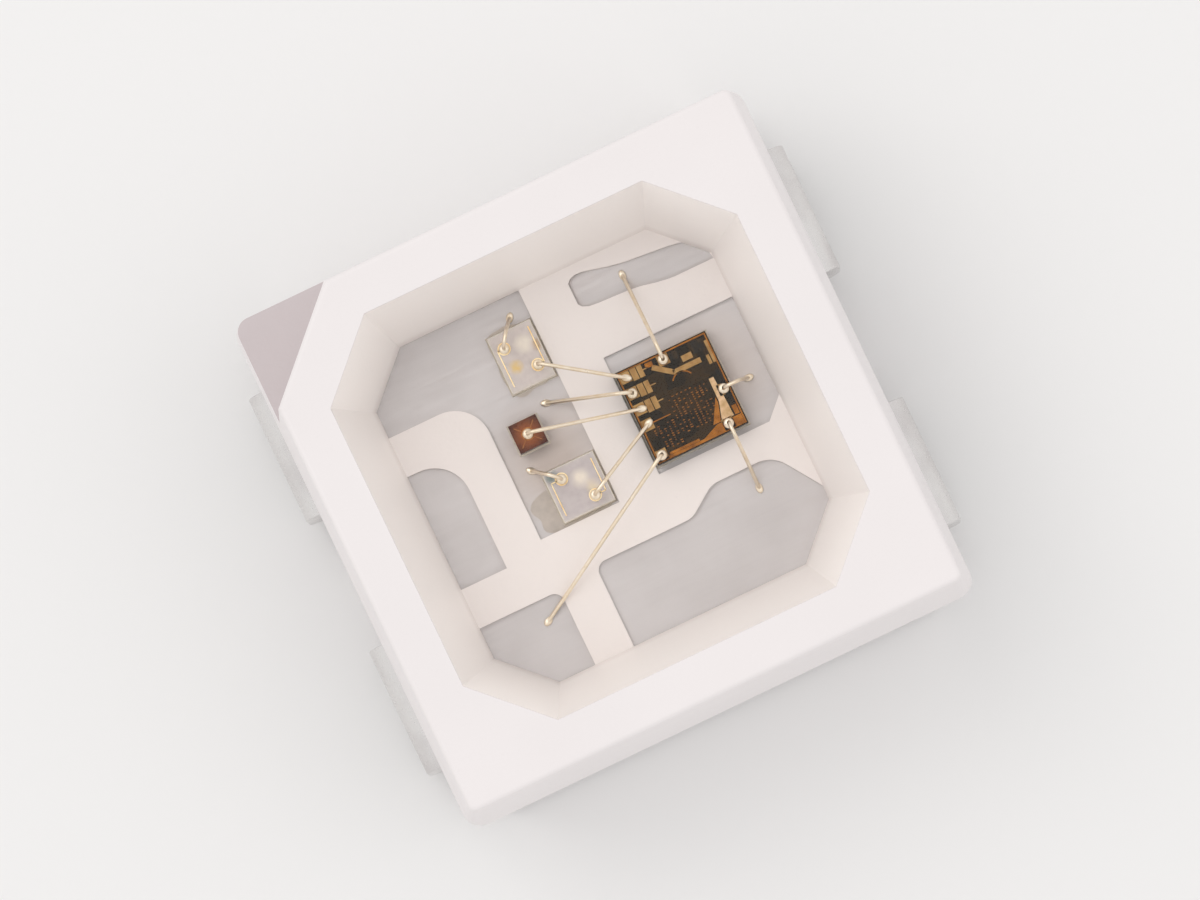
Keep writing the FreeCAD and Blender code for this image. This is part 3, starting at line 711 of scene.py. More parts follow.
@dataclass(frozen=True, kw_only=True)
class ThinMetal(Finish):
    """Evaporated or drawn metal, with the fine unevenness of a bonded surface."""

    shade_colour: Colour
    cloud_scale: float = 18.0
    cloud_span: Span = (0.35, 0.7)
    fine_scale: float = 108.0
    roughness: float = 0.35
    wander: Span = (-0.05, 0.12)
    relief: float = 0.0004

    def paint(self, canvas: Canvas) -> None:
        """Paint metal whose colour and shine wander a little.

        Args:
            canvas: The material to paint.
        """
        desk = canvas.desk
        clouds = desk.noise(canvas.place, self.cloud_scale, detail=4.0)
        fine = desk.noise(canvas.place, self.fine_scale)
        share = desk.spread(clouds, *self.cloud_span, 0.0, 1.0)
        canvas.put(
            Base_Color=desk.blend(share, self.colour, self.shade_colour),
            Metallic=1.0,
            Roughness=self.uneven_roughness(canvas, fine),
        )
        canvas.emboss(fine, self.relief)


@dataclass(frozen=True, kw_only=True)
class DieGlue(Finish):
    """The set layer of glue, a little glossy and uneven where it crept out."""

    lump_scale: float = 24.0
    lump_shade: float = 0.72
    gloss: float = 0.3
    wander: Span = (-0.06, 0.08)
    relief: float = 0.002

    def paint(self, canvas: Canvas) -> None:
        """Paint a set, slightly lumpy bead.

        Args:
            canvas: The material to paint.
        """
        desk = canvas.desk
        lumps = desk.noise(canvas.place, self.lump_scale, detail=4.0)
        canvas.put(
            Base_Color=desk.blend(lumps, self.colour, times(self.colour, self.lump_shade)),
            Roughness=self.uneven_roughness(canvas, lumps),
            Coat_Weight=self.gloss,
        )
        canvas.emboss(lumps, self.relief)


@dataclass(frozen=True, kw_only=True)
class ClearResin(Finish):
    """The cast filling: clear, with a breath of warm colour and a surface that is nearly smooth."""

    name: str = "cast_resin"
    colour: Colour = (0.998, 0.992, 0.98)
    shade: Colour = (0.99, 0.975, 0.96)
    index: float = 1.41
    swell_scale: float = 1.6
    dust_scale: float = 48.0
    roughness: float = 0.012
    wander: Span = (0.0, 0.05)
    span: Span = (0.6, 0.8)
    relief: float = 0.002

    def paint(self, canvas: Canvas) -> None:
        """Paint clear resin that lamps shine through.

        Args:
            canvas: The material to paint.
        """
        desk = canvas.desk
        swell = desk.noise(canvas.place, self.swell_scale, detail=2.0)
        dust = desk.noise(canvas.place, self.dust_scale, detail=2.0)
        canvas.put(
            Base_Color=opaque(self.colour),
            Roughness=self.uneven_roughness(canvas, dust),
            IOR=self.index,
            Transmission_Weight=1.0,
        )
        canvas.emboss(swell, self.relief)
        let_light_through(canvas, self.shade)


@dataclass(frozen=True, kw_only=True)
class PaleFloor(Finish):
    """The plain pale surface that the light stands on."""

    name: str = "pale_floor"
    colour: Colour = (0.852, 0.848, 0.844)
    cloud_scale: float = 0.05
    cloud_shade: float = 0.97
    roughness: float = 0.7
    wander: Span = (0.0, 0.0)
    relief: float = 0.0

    def paint(self, canvas: Canvas) -> None:
        """Paint a smooth pale surface with barely visible clouds.

        Args:
            canvas: The material to paint.
        """
        desk = canvas.desk
        clouds = desk.noise(canvas.place, self.cloud_scale, detail=2.0)
        canvas.put(
            Base_Color=desk.blend(clouds, self.colour, times(self.colour, self.cloud_shade)),
            Roughness=self.roughness,
        )


def let_light_through(canvas: Canvas, shade: Colour) -> None:
    """Let rays from lamps, and light scattered by what lies inside, pass a clear material unbent.

    Args:
        canvas: The clear material, already painted.
        shade: The share of each colour that gets through.
    """
    desk = canvas.desk
    passing = desk.add("ShaderNodeBsdfTransparent")
    passing.inputs[0].default_value = opaque(shade)
    rays = desk.add("ShaderNodeLightPath")
    surface = canvas.shader.outputs[0]
    for kind in ("Is Diffuse Ray", "Is Shadow Ray"):
        choice = desk.add("ShaderNodeMixShader")
        desk.feed(choice.inputs[0], rays.outputs[kind])
        desk.feed(choice.inputs[1], surface)
        desk.feed(choice.inputs[2], passing.outputs[0])
        surface = choice.outputs[0]
    desk.feed(canvas.output.inputs["Surface"], surface)


# Building pieces

def add_piece(
        name: str, mesh: bpy.types.Mesh, replaces: str | None = None,
) -> bpy.types.Object:
    """Put a finished mesh in the scene as a piece of the light.

    Args:
        name: The piece's name.
        mesh: Its mesh, in the frame's metres, with its materials.
        replaces: The solid that it stands for, if any.

    Returns:
        The piece.
    """
    piece = bpy.data.objects.new(name, mesh)
    bpy.context.scene.collection.objects.link(piece)
    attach(piece, BODY)
    if replaces:
        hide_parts(replaces)
    LOG.info("%s: %d faces", name, len(mesh.polygons))
    return piece


def dress(node: str, material: bpy.types.Material) -> None:
    """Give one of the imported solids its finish.

    Args:
        node: The solid's name.
        material: Its finish.
    """
    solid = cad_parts[node]
    for place in solid.material_slots:
        place.material = material
    LOG.info("%s: dressed with %s", node, material.name)


def soften(node: str, material: bpy.types.Material, wear: float) -> None:
    """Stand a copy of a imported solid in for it, with its sharp edges worn round.

    Args:
        node: The solid's name.
        material: The copy's finish.
        wear: The width of the worn edge, in millimetres.
    """
    work = bmesh.new()
    work.from_mesh(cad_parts[node].data)
    bmesh.ops.remove_doubles(work, verts=work.verts, dist=MERGE_REACH * MM)
    bmesh.ops.dissolve_limit(work, angle_limit=FLAT_ANGLE, verts=work.verts, edges=work.edges)
    name = f"{node}_worn"
    add_piece(name, worn_mesh(name, work, material, wear), replaces=node)


def worn_mesh(
        name: str, work: bmesh.types.BMesh, material: bpy.types.Material, wear: float,
) -> bpy.types.Mesh:
    """Wear the sharp edges round and close the mesh.

    Args:
        name: The mesh's name.
        work: The shape, which is freed.
        material: Its finish.
        wear: The width of a worn edge, in millimetres.

    Returns:
        The mesh, shaded flat on its large faces.
    """
    sharp = [edge for edge in work.edges
             if len(edge.link_faces) == 2 and edge.calc_face_angle() > SHARP_ANGLE]
    bmesh.ops.bevel(work, geom=sharp, offset=wear * MM, segments=WEAR_SEGMENTS, profile=0.5,
                    affect="EDGES", clamp_overlap=True)
    for face in work.faces:
        face.smooth = True
    mesh = closed_mesh(name, work, material)
    mesh.set_sharp_from_angle(angle=EDGE_ANGLE)
    return flat_shaded_faces(mesh)


def closed_mesh(
        name: str, work: bmesh.types.BMesh, material: bpy.types.Material,
) -> bpy.types.Mesh:
    """Turn a shape into a mesh of one material, and free the shape.

    Args:
        name: The mesh's name.
        work: The shape.
        material: The mesh's material.

    Returns:
        The mesh.
    """
    mesh = bpy.data.meshes.new(name)
    work.to_mesh(mesh)
    work.free()
    mesh.materials.clear()
    mesh.materials.append(material)
    return mesh


def flat_shaded_faces(mesh: bpy.types.Mesh) -> bpy.types.Mesh:
    """Turn the normals so that large faces are shaded flat and only worn edges are shaded round.

    Args:
        mesh: A mesh whose faces are smooth.

    Returns:
        The mesh with its normals set.
    """
    name = mesh.name
    carrier = carry(name, mesh)
    weighting = carrier.modifiers.new("weighting", "WEIGHTED_NORMAL")
    weighting.weight = FULL_WEIGHT
    weighting.keep_sharp = True
    shaded = plain_mesh(carrier)
    bpy.data.meshes.remove(mesh)
    shaded.name = name
    return shaded


def carry(name: str, mesh: bpy.types.Mesh) -> bpy.types.Object:
    """Put a mesh in the scene for as long as its modifiers are worked out.

    Args:
        name: The object's name.
        mesh: The mesh.

    Returns:
        The object that carries it.
    """
    carrier = bpy.data.objects.new(name, mesh)
    bpy.context.scene.collection.objects.link(carrier)
    return carrier


def plain_mesh(carrier: bpy.types.Object) -> bpy.types.Mesh:
    """Work out an object's modifiers and remove the object.

    Args:
        carrier: The object.

    Returns:
        A plain mesh of what its modifiers make.
    """
    evaluated = carrier.evaluated_get(bpy.context.evaluated_depsgraph_get())
    mesh = bpy.data.meshes.new_from_object(evaluated)
    bpy.data.objects.remove(carrier)
    return mesh


def millimetre_box(node: str) -> tuple[Vector, Vector]:
    """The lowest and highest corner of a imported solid, in millimetres."""
    low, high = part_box(node)
    return low / MM, high / MM


def flat_box(node: str) -> tuple[Place, Place]:
    """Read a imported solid's place as seen from above.

    Args:
        node: The solid's name.

    Returns:
        Its middle, and half its length and width, in millimetres.
    """
    low, high = millimetre_box(node)
    middle = ((low.x + high.x) / 2, (low.y + high.y) / 2)
    return middle, ((high.x - low.x) / 2, (high.y - low.y) / 2)


def circle_points(middle: Place, radius: float, angles: Sequence[float]) -> list[Place]:
    """Points on a circle.

    Args:
        middle: Its centre.
        radius: Its radius.
        angles: Where the points lie, in radians.

    Returns:
        The points.
    """
    return [(middle[0] + radius * math.cos(angle), middle[1] + radius * math.sin(angle))
            for angle in angles]


class Growth:
    """A Geometry Nodes tree with named inputs, which ends in Realize Instances and Set Material."""

    def __init__(self, name: str, inputs: dict[str, float | int]) -> None:
        """Make the tree.

        Args:
            name: The tree's name.
            inputs: A default for each named input, whole numbers for counts and seeds.
        """
        self.tree = bpy.data.node_groups.new(name, "GeometryNodeTree")
        self.tree.is_modifier = True
        face = self.tree.interface
        face.new_socket("Geometry", in_out="INPUT", socket_type="NodeSocketGeometry")
        face.new_socket("Geometry", in_out="OUTPUT", socket_type="NodeSocketGeometry")
        for label, value in inputs.items():
            kind = "NodeSocketInt" if isinstance(value, int) else "NodeSocketFloat"
            face.new_socket(label, in_out="INPUT", socket_type=kind).default_value = value
        self.desk = NodeDesk(self.tree)
        self.source = self.desk.add("NodeGroupInput")

    def given(self, label: str) -> Socket:
        """The socket of a named input."""
        return self.source.outputs[label]

    def vector(self, x: Value = 0.0, y: Value = 0.0, z: Value = 0.0) -> Socket:
        """Put three numbers or sockets together.

        Args:
            x: Along X.
            y: Along Y.
            z: Along Z.

        Returns:
            The vector's socket.
        """
        node = self.desk.add("ShaderNodeCombineXYZ")
        for target, value in zip(node.inputs, (x, y, z)):
            self.desk.feed(target, value)
        return node.outputs[0]

    def moved(self, shape: Socket, offset: Socket, scale: Socket) -> Socket:
        """Scale a shape, then move it.

        Args:
            shape: The geometry.
            offset: How far it moves.
            scale: Its factor along each axis.

        Returns:
            The changed geometry.
        """
        node = self.desk.add("GeometryNodeTransform")
        self.desk.feed(node.inputs["Geometry"], shape)
        self.desk.feed(node.inputs["Translation"], offset)
        self.desk.feed(node.inputs["Scale"], scale)
        return node.outputs[0]

    def end(self, shapes: Sequence[Socket], material: bpy.types.Material, smooth: bool) -> None:
        """Join the shapes and finish the tree.

        Args:
            shapes: The geometry to join.
            material: What it is made of.
            smooth: Whether its faces are shaded smooth.
        """
        join = self.desk.add("GeometryNodeJoinGeometry")
        for shape in shapes:
            self.desk.feed(join.inputs[0], shape)
        shade = self.desk.add("GeometryNodeSetShadeSmooth")
        shade.inputs["Shade Smooth"].default_value = smooth
        self.desk.feed(shade.inputs[0], join.outputs[0])
        real = self.desk.add("GeometryNodeRealizeInstances")
        self.desk.feed(real.inputs[0], shade.outputs[0])
        made_of = self.desk.add("GeometryNodeSetMaterial")
        made_of.inputs["Material"].default_value = material
        self.desk.feed(made_of.inputs[0], real.outputs[0])
        self.desk.feed(self.desk.add("NodeGroupOutput").inputs[0], made_of.outputs[0])

    def grow(
            self, name: str, seed_mesh: bpy.types.Mesh, values: dict[str, float | int],
    ) -> bpy.types.Mesh:
        """Run the tree on a mesh.

        Args:
            name: The new mesh's name.
            seed_mesh: What the tree starts from.
            values: The named inputs to set.

        Returns:
            The plain mesh that the tree makes.
        """
        carrier = carry(name, seed_mesh)
        modifier = carrier.modifiers.new(name, "NODES")
        modifier.node_group = self.tree
        for item in self.tree.interface.items_tree:
            if item.in_out == "INPUT" and item.name in values:
                modifier[item.identifier] = values[item.name]
        mesh = plain_mesh(carrier)
        mesh.name = name
        return mesh


class FlatPlates:
    """Thin plates of one layer, drawn as outlines round a middle."""

    def __init__(self, middle: Place, level: float, thickness: float) -> None:
        """Start an empty layer.

        Args:
            middle: The point that the outlines are measured from, such as a die's middle.
            level: The height that the layer lies on.
            thickness: The layer's thickness.
        """
        self.middle = middle
        self.level = level
        self.thickness = thickness
        self.work = bmesh.new()

    def outline(self, points: Sequence[Place]) -> None:
        """Add one plate.

        Args:
            points: Its corners from the middle, counter-clockwise.
        """
        bottom, top = [
            [self.work.verts.new(((self.middle[0] + x) * MM, (self.middle[1] + y) * MM, level * MM))
             for x, y in points]
            for level in (self.level, self.level + self.thickness)
        ]
        self.work.faces.new(top)
        self.work.faces.new(list(reversed(bottom)))
        for index in range(len(points)):
            after = (index + 1) % len(points)
            self.work.faces.new((bottom[index], bottom[after], top[after], top[index]))

    def bar(self, left: float, bottom: float, width: float, height: float) -> None:
        """Add an upright rectangle.

        Args:
            left: Its left edge.
            bottom: Its lower edge.
            width: Its size along X.
            height: Its size along Y.
        """
        right = left + width
        top = bottom + height
        self.outline([(left, bottom), (right, bottom), (right, top), (left, top)])

    def bars(self, bars: Sequence[Bar]) -> None:
        """Add upright rectangles, each with its left and lower edge, width and height."""
        for bar in bars:
            self.bar(*bar)

    def line(self, start: Place, end: Place, width: float) -> None:
        """Add a straight track.

        Args:
            start: Where its middle line starts.
            end: Where it ends.
            width: Its width.
        """
        first, last = Vector(start), Vector(end)
        along = last - first
        side = Vector((-along.y, along.x)).normalized() * width / 2
        corners = (first - side, last - side, last + side, first + side)
        self.outline([tuple(corner) for corner in corners])

    def disc(self, middle: Place, radius: float, sides: int = 28) -> None:
        """Add a round plate.

        Args:
            middle: Its centre.
            radius: Its radius.
            sides: How many edges stand for the circle.
        """
        angles = [math.tau * index / sides for index in range(sides)]
        self.outline(circle_points(middle, radius, angles))

    def arc(self, middle: Place, radius: float, width: float, ends: Span, steps: int = 20) -> None:
        """Add a curved track.

        Args:
            middle: Its centre.
            radius: The radius of its middle line.
            width: Its width.
            ends: The angles where it starts and ends, in degrees.
            steps: How many short runs it has.
        """
        first, last = ends
        angles = [math.radians(first + (last - first) * index / steps)
                  for index in range(steps + 1)]
        outer = circle_points(middle, radius + width / 2, angles)
        inner = circle_points(middle, radius - width / 2, angles[::-1])
        self.outline(outer + inner)

    def add(
            self, name: str, material: bpy.types.Material, slot: Slot, replaces: str | None = None,
    ) -> None:
        """Close the layer and put it in the scene.

        Args:
            name: The piece's name.
            material: What the plates are made of.
            slot: The record's slot, which is not used.
            replaces: The solid that they stand for, if any.
        """
        add_piece(name, closed_mesh(name, self.work, material), replaces)


# The light's own parts

@dataclass
class Housing:
    """The white moulding."""

    colour: Colour = (0.852, 0.81, 0.808)
    # Painted light: the cavity walls are painted lighter and warmer than the moulding's own colour.
    painted_light_wall_colour: Colour = (0.985, 0.945, 0.925)
    rib_colour: Colour = (0.875, 0.822, 0.80)
    # Painted shadow on the notch ledge.
    ledge_shadow_colour: Colour = (0.575, 0.51, 0.515)
    cavity_half: float = 1.42
    cavity_corner: float = 2.42
    notch_leg: float = 0.73
    notch_depth: float = 0.65
    rim_margin: float = 0.012
    foot_margin: float = 0.05
    edge_wear: float = 0.010
    rib_height: float = 0.041
    upper_edge: tuple[Place, ...] = (
        (0.250, 1.040), (0.270, 1.072), (0.295, 1.094), (0.330, 1.105), (0.380, 1.103),
        (0.450, 1.086), (0.540, 1.062), (0.650, 1.043), (0.800, 1.029), (0.940, 1.016),
        (1.035, 0.998), (1.095, 0.968), (1.135, 0.925), (1.160, 0.870), (1.170, 0.815),
    )
    upper_back: tuple[Place, ...] = (
        (1.190, 0.815), (1.190, 0.870), (0.870, 1.190), (0.250, 1.190),
    )
    lower_edge: tuple[Place, ...] = (
        (0.985, 0.808), (0.930, 0.820), (0.850, 0.827), (0.770, 0.840), (0.690, 0.858),
        (0.610, 0.869), (0.500, 0.875), (0.400, 0.879), (0.330, 0.886), (0.290, 0.903),
        (0.268, 0.930), (0.250, 0.960),
    )
    lower_back: Place = (0.250, 0.808)

    def island_edges(self, material: bpy.types.Material, lead_level: float) -> None:
        """Lay the moulded edges that narrow the input lead's island to its slanted shape.

        Args:
            material: The moulding's finish.
            lead_level: The height of the leads' tops.
        """
        start = lead_level - self.rim_margin
        edges = FlatPlates((0.0, 0.0), start, self.rim_margin + self.rib_height)
        edges.outline(self.upper_edge + self.upper_back)
        edges.outline((self.lower_back, *self.lower_edge))
        name = "input_island_edges"
        add_piece(name, worn_mesh(name, edges.work, material, self.edge_wear))

    def build(self) -> None:
        """Dress the moulding, with its edges worn round, and narrow one island."""
        _, high = millimetre_box("housing")
        _, lead_top = millimetre_box("ground_lead")
        material = MouldedWhite(
            name="moulded_white",
            colour=self.colour,
            painted_light_wall_colour=self.painted_light_wall_colour,
            rib_colour=self.rib_colour,
            ledge_shadow_colour=self.ledge_shadow_colour,
            cavity_half=self.cavity_half,
            cavity_corner=self.cavity_corner,
            cavity_top=high.z - self.rim_margin,
            cavity_bottom=lead_top.z - self.rim_margin,
            rib_level=lead_top.z + self.foot_margin,
            ledge_level=high.z - self.notch_depth,
            ledge_edge=high.y - self.notch_leg - self.foot_margin,
        ).material()
        soften("housing", material, self.edge_wear)
        self.island_edges(material, lead_top.z)


@dataclass
class Leads:
    """The four silvered leads."""

    names: tuple[str, ...] = ("supply_lead", "output_lead", "ground_lead", "input_lead")
    edge_wear: float = 0.008
    colour: Colour = (0.606, 0.575, 0.572)
    tarnish_colour: Colour = (0.563, 0.532, 0.528)
    # The colour of the darker, browner round patches on the plating.
    darker_patch_colour: Colour = (0.545, 0.47, 0.428)
    terminal_colour: Colour = (0.76, 0.745, 0.735)
    terminal_start: float = 1.52
    # Darker, browner round patches on the plating: the middle and radius of each.
    column_darker_patch: tuple[Place, float] = ((-0.30, 0.12), 0.46)
    controller_darker_patch: tuple[Place, float] = ((0.78, 0.16), 0.50)

    def build(self) -> None:
        """Dress the leads."""
        silver = RolledSilver(
            name="rolled_silver",
            colour=self.colour,
            tarnish_colour=self.tarnish_colour,
            darker_patch_colour=self.darker_patch_colour,
            darker_patches=(self.column_darker_patch, self.controller_darker_patch),
            terminal_colour=self.terminal_colour,
            terminal_start=self.terminal_start,
        ).material()
        for name in self.names:
            soften(name, silver, self.edge_wear)


@dataclass
class DieGlues:
    """The layers of glue under the dies."""

    names: tuple[str, ...] = ("controller_attach", "red_attach", "green_attach", "blue_attach")
    colour: Colour = (0.74, 0.68, 0.58)
    roughness: float = 0.34

    def build(self) -> None:
        """Dress the layers."""
        glue = DieGlue(name="die_glue", colour=self.colour, roughness=self.roughness).material()
        for name in self.names:
            dress(name, glue)


@dataclass(frozen=True)
class CellBlock:
    """A block of small cells on the controller, with how many lie across and up in it.

    Its middle is measured from the die's, and its seed makes its gaps its own.
    """

    name: str
    middle: Place
    size: Place
    count: tuple[int, int]
    seed: int


@dataclass
class Controller:
    """The square driver die, with the metal of its circuit on top.

    Places are measured from the die's middle. A bar is its left and lower edge, width and height.
    """

    pad_inset: float = 0.05
    pad_pitch: float = 0.11
    pad_side: float = 0.074
    second_ground_offset: float = 0.2
    metal_thickness: float = 0.0015
    seal_inset: float = 0.008
    seal_width: float = 0.009
    track_width: float = 0.007
    driver_rows: int = 3
    driver_foot: float = 0.225
    driver_height: float = 0.082
    driver_bars: tuple[Span, ...] = ((-0.222, 0.040), (-0.176, 0.034))
    driver_track: Span = (-0.142, -0.105)
    band_run: tuple[Place, Place] = ((-0.085, 0.255), (0.030, 0.168))
    band_width: float = 0.034
    band_bars: tuple[Bar, ...] = (
        (0.024, 0.150, 0.190, 0.034), (0.108, 0.200, 0.070, 0.040),
        (0.280, 0.115, 0.018, 0.150), (0.252, 0.115, 0.020, 0.062),
    )
    output_outline: tuple[Place, ...] = (
        (0.168, -0.238), (0.252, -0.238), (0.247, -0.120),
        (0.238, 0.035), (0.206, 0.035), (0.204, -0.120),
    )
    return_outlines: tuple[tuple[Place, ...], ...] = (
        ((0.020, -0.294), (0.296, -0.294), (0.296, -0.246), (0.130, -0.246)),
        ((0.108, -0.240), (0.160, -0.240), (0.196, -0.125), (0.196, -0.085)),
    )
    return_bars: tuple[Bar, ...] = (
        (0.262, -0.238, 0.030, 0.060), (-0.215, -0.292, 0.205, 0.016),
        (-0.120, 0.262, 0.050, 0.032),
    )
    data_run: tuple[Place, Place] = ((-0.245, -0.06), (-0.105, -0.06))
    coil_middle: Place = (0.060, 0.085)
    coil_radius: float = 0.070
    coil_width: float = 0.008
    coil_ends: Span = (25, 150)
    test_bars: tuple[Bar, ...] = (
        (0.045, 0.236, 0.052, 0.056), (0.190, 0.216, 0.078, 0.076),
        (0.262, -0.170, 0.034, 0.240), (-0.262, 0.205, 0.026, 0.026),
    )
    cell_size: tuple[float, float, float] = (0.012, 0.005, 0.001)
    cells_kept: float = 0.7
    shortest_cell: tuple[float, float, float] = (0.35, 0.8, 1.0)
    longest_cell: tuple[float, float, float] = (1.5, 1.2, 1.0)
    cell_blocks: tuple[CellBlock, ...] = (
        CellBlock("controller_logic", (0.045, -0.085), (0.24, 0.24), (9, 17), 3),
        CellBlock("controller_memory", (-0.175, -0.175), (0.13, 0.15), (5, 11), 8),
    )
    colour: Colour = (0.019, 0.013, 0.006)
    block_colour: Colour = (0.056, 0.030, 0.009)
    side_colour: Colour = (0.075, 0.066, 0.060)
    tan_colour: Colour = (0.44, 0.265, 0.10)
    tan_shade: Colour = (0.30, 0.16, 0.055)
    pale_colour: Colour = (0.76, 0.52, 0.32)
    amber_colour: Colour = (0.42, 0.155, 0.022)
    amber_shade: Colour = (0.22, 0.075, 0.012)
    oxide_colour: Colour = (0.012, 0.009, 0.006)
    middle: Place = field(init=False)
    half_sides: Place = field(init=False)
    top: float = field(init=False)

    def __post_init__(self) -> None:
        """Read the die's place from the frame."""
        self.middle, self.half_sides = flat_box("controller_die")
        self.top = millimetre_box("controller_die")[1].z

    def pads(self) -> dict[str, Place]:
        """Where the bonded pads lie.

        Returns:
            Each pad's place, named by the wire that meets it.
        """
        half_length, half_width = self.half_sides
        left = self.pad_inset - half_length
        top = half_width - self.pad_inset
        bottom = -top
        return {
            "green_drive_wire": (left, top),
            "controller_supply_wire": (left, top - self.pad_pitch),
            "red_drive_wire": (left, top - 2 * self.pad_pitch),
            "blue_drive_wire": (left, top - 3 * self.pad_pitch),
            "data_output_wire": (left, bottom),
            "data_input_wire": (0.0, top),
            "ground_wire": (-left, top - 3 * self.pad_pitch),
            "second_ground_wire": (self.second_ground_offset, bottom),
        }

    def on_frame(self, place: Place) -> Vector:
        """A place on the die's top in the frame.

        Args:
            place: The place from the die's middle.

        Returns:
            The point, in millimetres.
        """
        return Vector((self.middle[0] + place[0], self.middle[1] + place[1], self.top))

    def layer(self) -> FlatPlates:
        """An empty layer of metal on the die's top."""
        return FlatPlates(self.middle, self.top, self.metal_thickness)

    def seal_ring(self, metal: FlatPlates) -> None:
        """Draw the ring of metal that runs round inside the die's edge.

        Args:
            metal: The layer.
        """
        right, top = (half - self.seal_inset for half in self.half_sides)
        width = self.seal_width
        metal.bars((
            (-right, top - width, 2 * right, width),
            (-right, -top, 2 * right, 2 * width),
            (-right, 2 * width - top, width, 2 * top - 3 * width),
            (right - width, 2 * width - top, width, 2 * top - 3 * width),
        ))

    def tan_metal(self) -> FlatPlates:
        """Draw the pads, the driver blocks at the left, and the wide band under the top edge.

        Returns:
            The layer.
        """
        metal = self.layer()
        side = self.pad_side
        metal.bars([(x - side / 2, y - side / 2, side, side) for x, y in self.pads().values()])
        for row in range(self.driver_rows):
            bottom = self.driver_foot - row * self.pad_pitch
            for left, width in self.driver_bars:
                metal.bar(left, bottom, width, self.driver_height)
            start, end = ((x, bottom + self.driver_height / 2) for x in self.driver_track)
            metal.line(start, end, self.track_width)
        metal.line(*self.band_run, self.band_width)
        metal.bars(self.band_bars)
        return metal

    def pale_metal(self) -> FlatPlates:
        """Draw the bright output bar at the lower right.

        Returns:
            The layer.
        """
        metal = self.layer()
        metal.outline(self.output_outline)
        return metal

    def amber_metal(self) -> FlatPlates:
        """Draw the seal ring, the return bus along the lower edge and its slanted foot.

        Returns:
            The layer.
        """
        metal = self.layer()
        self.seal_ring(metal)
        for points in self.return_outlines:
            metal.outline(points)
        metal.bars(self.return_bars)
        metal.line(*self.data_run, self.track_width)
        metal.arc(self.coil_middle, self.coil_radius, self.coil_width, self.coil_ends)
        return metal

    def test_marks(self) -> FlatPlates:
        """Draw the dark test structures along the top edge and down the right side.

        Returns:
            The layer.
        """
        metal = self.layer()
        metal.bars(self.test_bars)
        return metal

    def cells(self, finish: bpy.types.Material) -> Growth:
        """The tree that fills a rectangle with rows of small cells, some left out.

        Args:
            finish: What the cells are made of.

        Returns:
            The tree.
        """
        length, width, thickness = (side * MM for side in self.cell_size)
        growth = Growth("cell_rows", {
            "Width": 0.3 * MM, "Height": 0.3 * MM, "Across": 12, "Up": 24,
            "Cell length": length, "Cell width": width, "Thickness": thickness,
            "Kept share": self.cells_kept, "Seed": 3,
        })
        desk = growth.desk
        grid = desk.add("GeometryNodeMeshGrid")
        for label, name in {"Size X": "Width", "Size Y": "Height",
                            "Vertices X": "Across", "Vertices Y": "Up"}.items():
            desk.feed(grid.inputs[label], growth.given(name))
        cell = desk.add("GeometryNodeMeshCube")
        sides = [growth.given(name) for name in ("Cell length", "Cell width", "Thickness")]
        desk.feed(cell.inputs["Size"], growth.vector(*sides))
        kept = desk.add("FunctionNodeRandomValue", data_type="BOOLEAN")
        desk.feed(kept.inputs["Probability"], growth.given("Kept share"))
        desk.feed(kept.inputs["Seed"], growth.given("Seed"))
        scale = desk.add("FunctionNodeRandomValue", data_type="FLOAT_VECTOR")
        scale.inputs[0].default_value = self.shortest_cell
        scale.inputs[1].default_value = self.longest_cell
        desk.feed(scale.inputs["Seed"], growth.given("Seed"))
        copies = desk.add("GeometryNodeInstanceOnPoints")
        desk.feed(copies.inputs["Points"], grid.outputs["Mesh"])
        desk.feed(copies.inputs["Selection"], next(s for s in kept.outputs if s.type == "BOOLEAN"))
        desk.feed(copies.inputs["Instance"], cell.outputs["Mesh"])
        desk.feed(copies.inputs["Scale"], next(s for s in scale.outputs if s.type == "VECTOR"))
        growth.end([copies.outputs[0]], finish, smooth=False)
        return growth

    def grow_cells(self, growth: Growth, block: CellBlock) -> None:
        """Grow one block of cells, which stand on the die.

        Args:
            growth: The tree.
            block: The block.
        """
        mesh = growth.grow(block.name, bpy.data.meshes.new(block.name), {
            "Width": block.size[0] * MM, "Height": block.size[1] * MM,
            "Across": block.count[0], "Up": block.count[1], "Seed": block.seed,
        })
        spot = self.on_frame(block.middle) + Vector((0, 0, self.cell_size[2] / 2))
        mesh.transform(Matrix.Translation(spot * MM))
        add_piece(block.name, mesh)

    def build(self) -> None:
        """Dress the die and lay its metal."""
        silicon = SawnSilicon(name="sawn_silicon", colour=self.colour, top=self.top,
                              block_colour=self.block_colour, side_colour=self.side_colour)
        dress("controller_die", silicon.material())
        amber = ThinMetal(name="amber_track_metal", colour=self.amber_colour,
                          shade_colour=self.amber_shade).material()
        tan = ThinMetal(name="tan_track_metal", colour=self.tan_colour,
                        shade_colour=self.tan_shade, roughness=0.4).material()
        pale = ThinMetal(name="pale_track_metal", colour=self.pale_colour,
                         shade_colour=self.tan_colour).material()
        oxide = DarkOxide(name="dark_oxide", colour=self.oxide_colour,
                          line_colour=self.block_colour).material()
        self.tan_metal().add("controller_pads", tan, Slot.SILICON)
        self.pale_metal().add("controller_output", pale, Slot.SILICON)
        self.amber_metal().add("controller_buses", amber, Slot.SILICON)
        self.test_marks().add("controller_marks", oxide, Slot.SILICON)
        growth = self.cells(amber)
        for block in self.cell_blocks:
            self.grow_cells(growth, block)


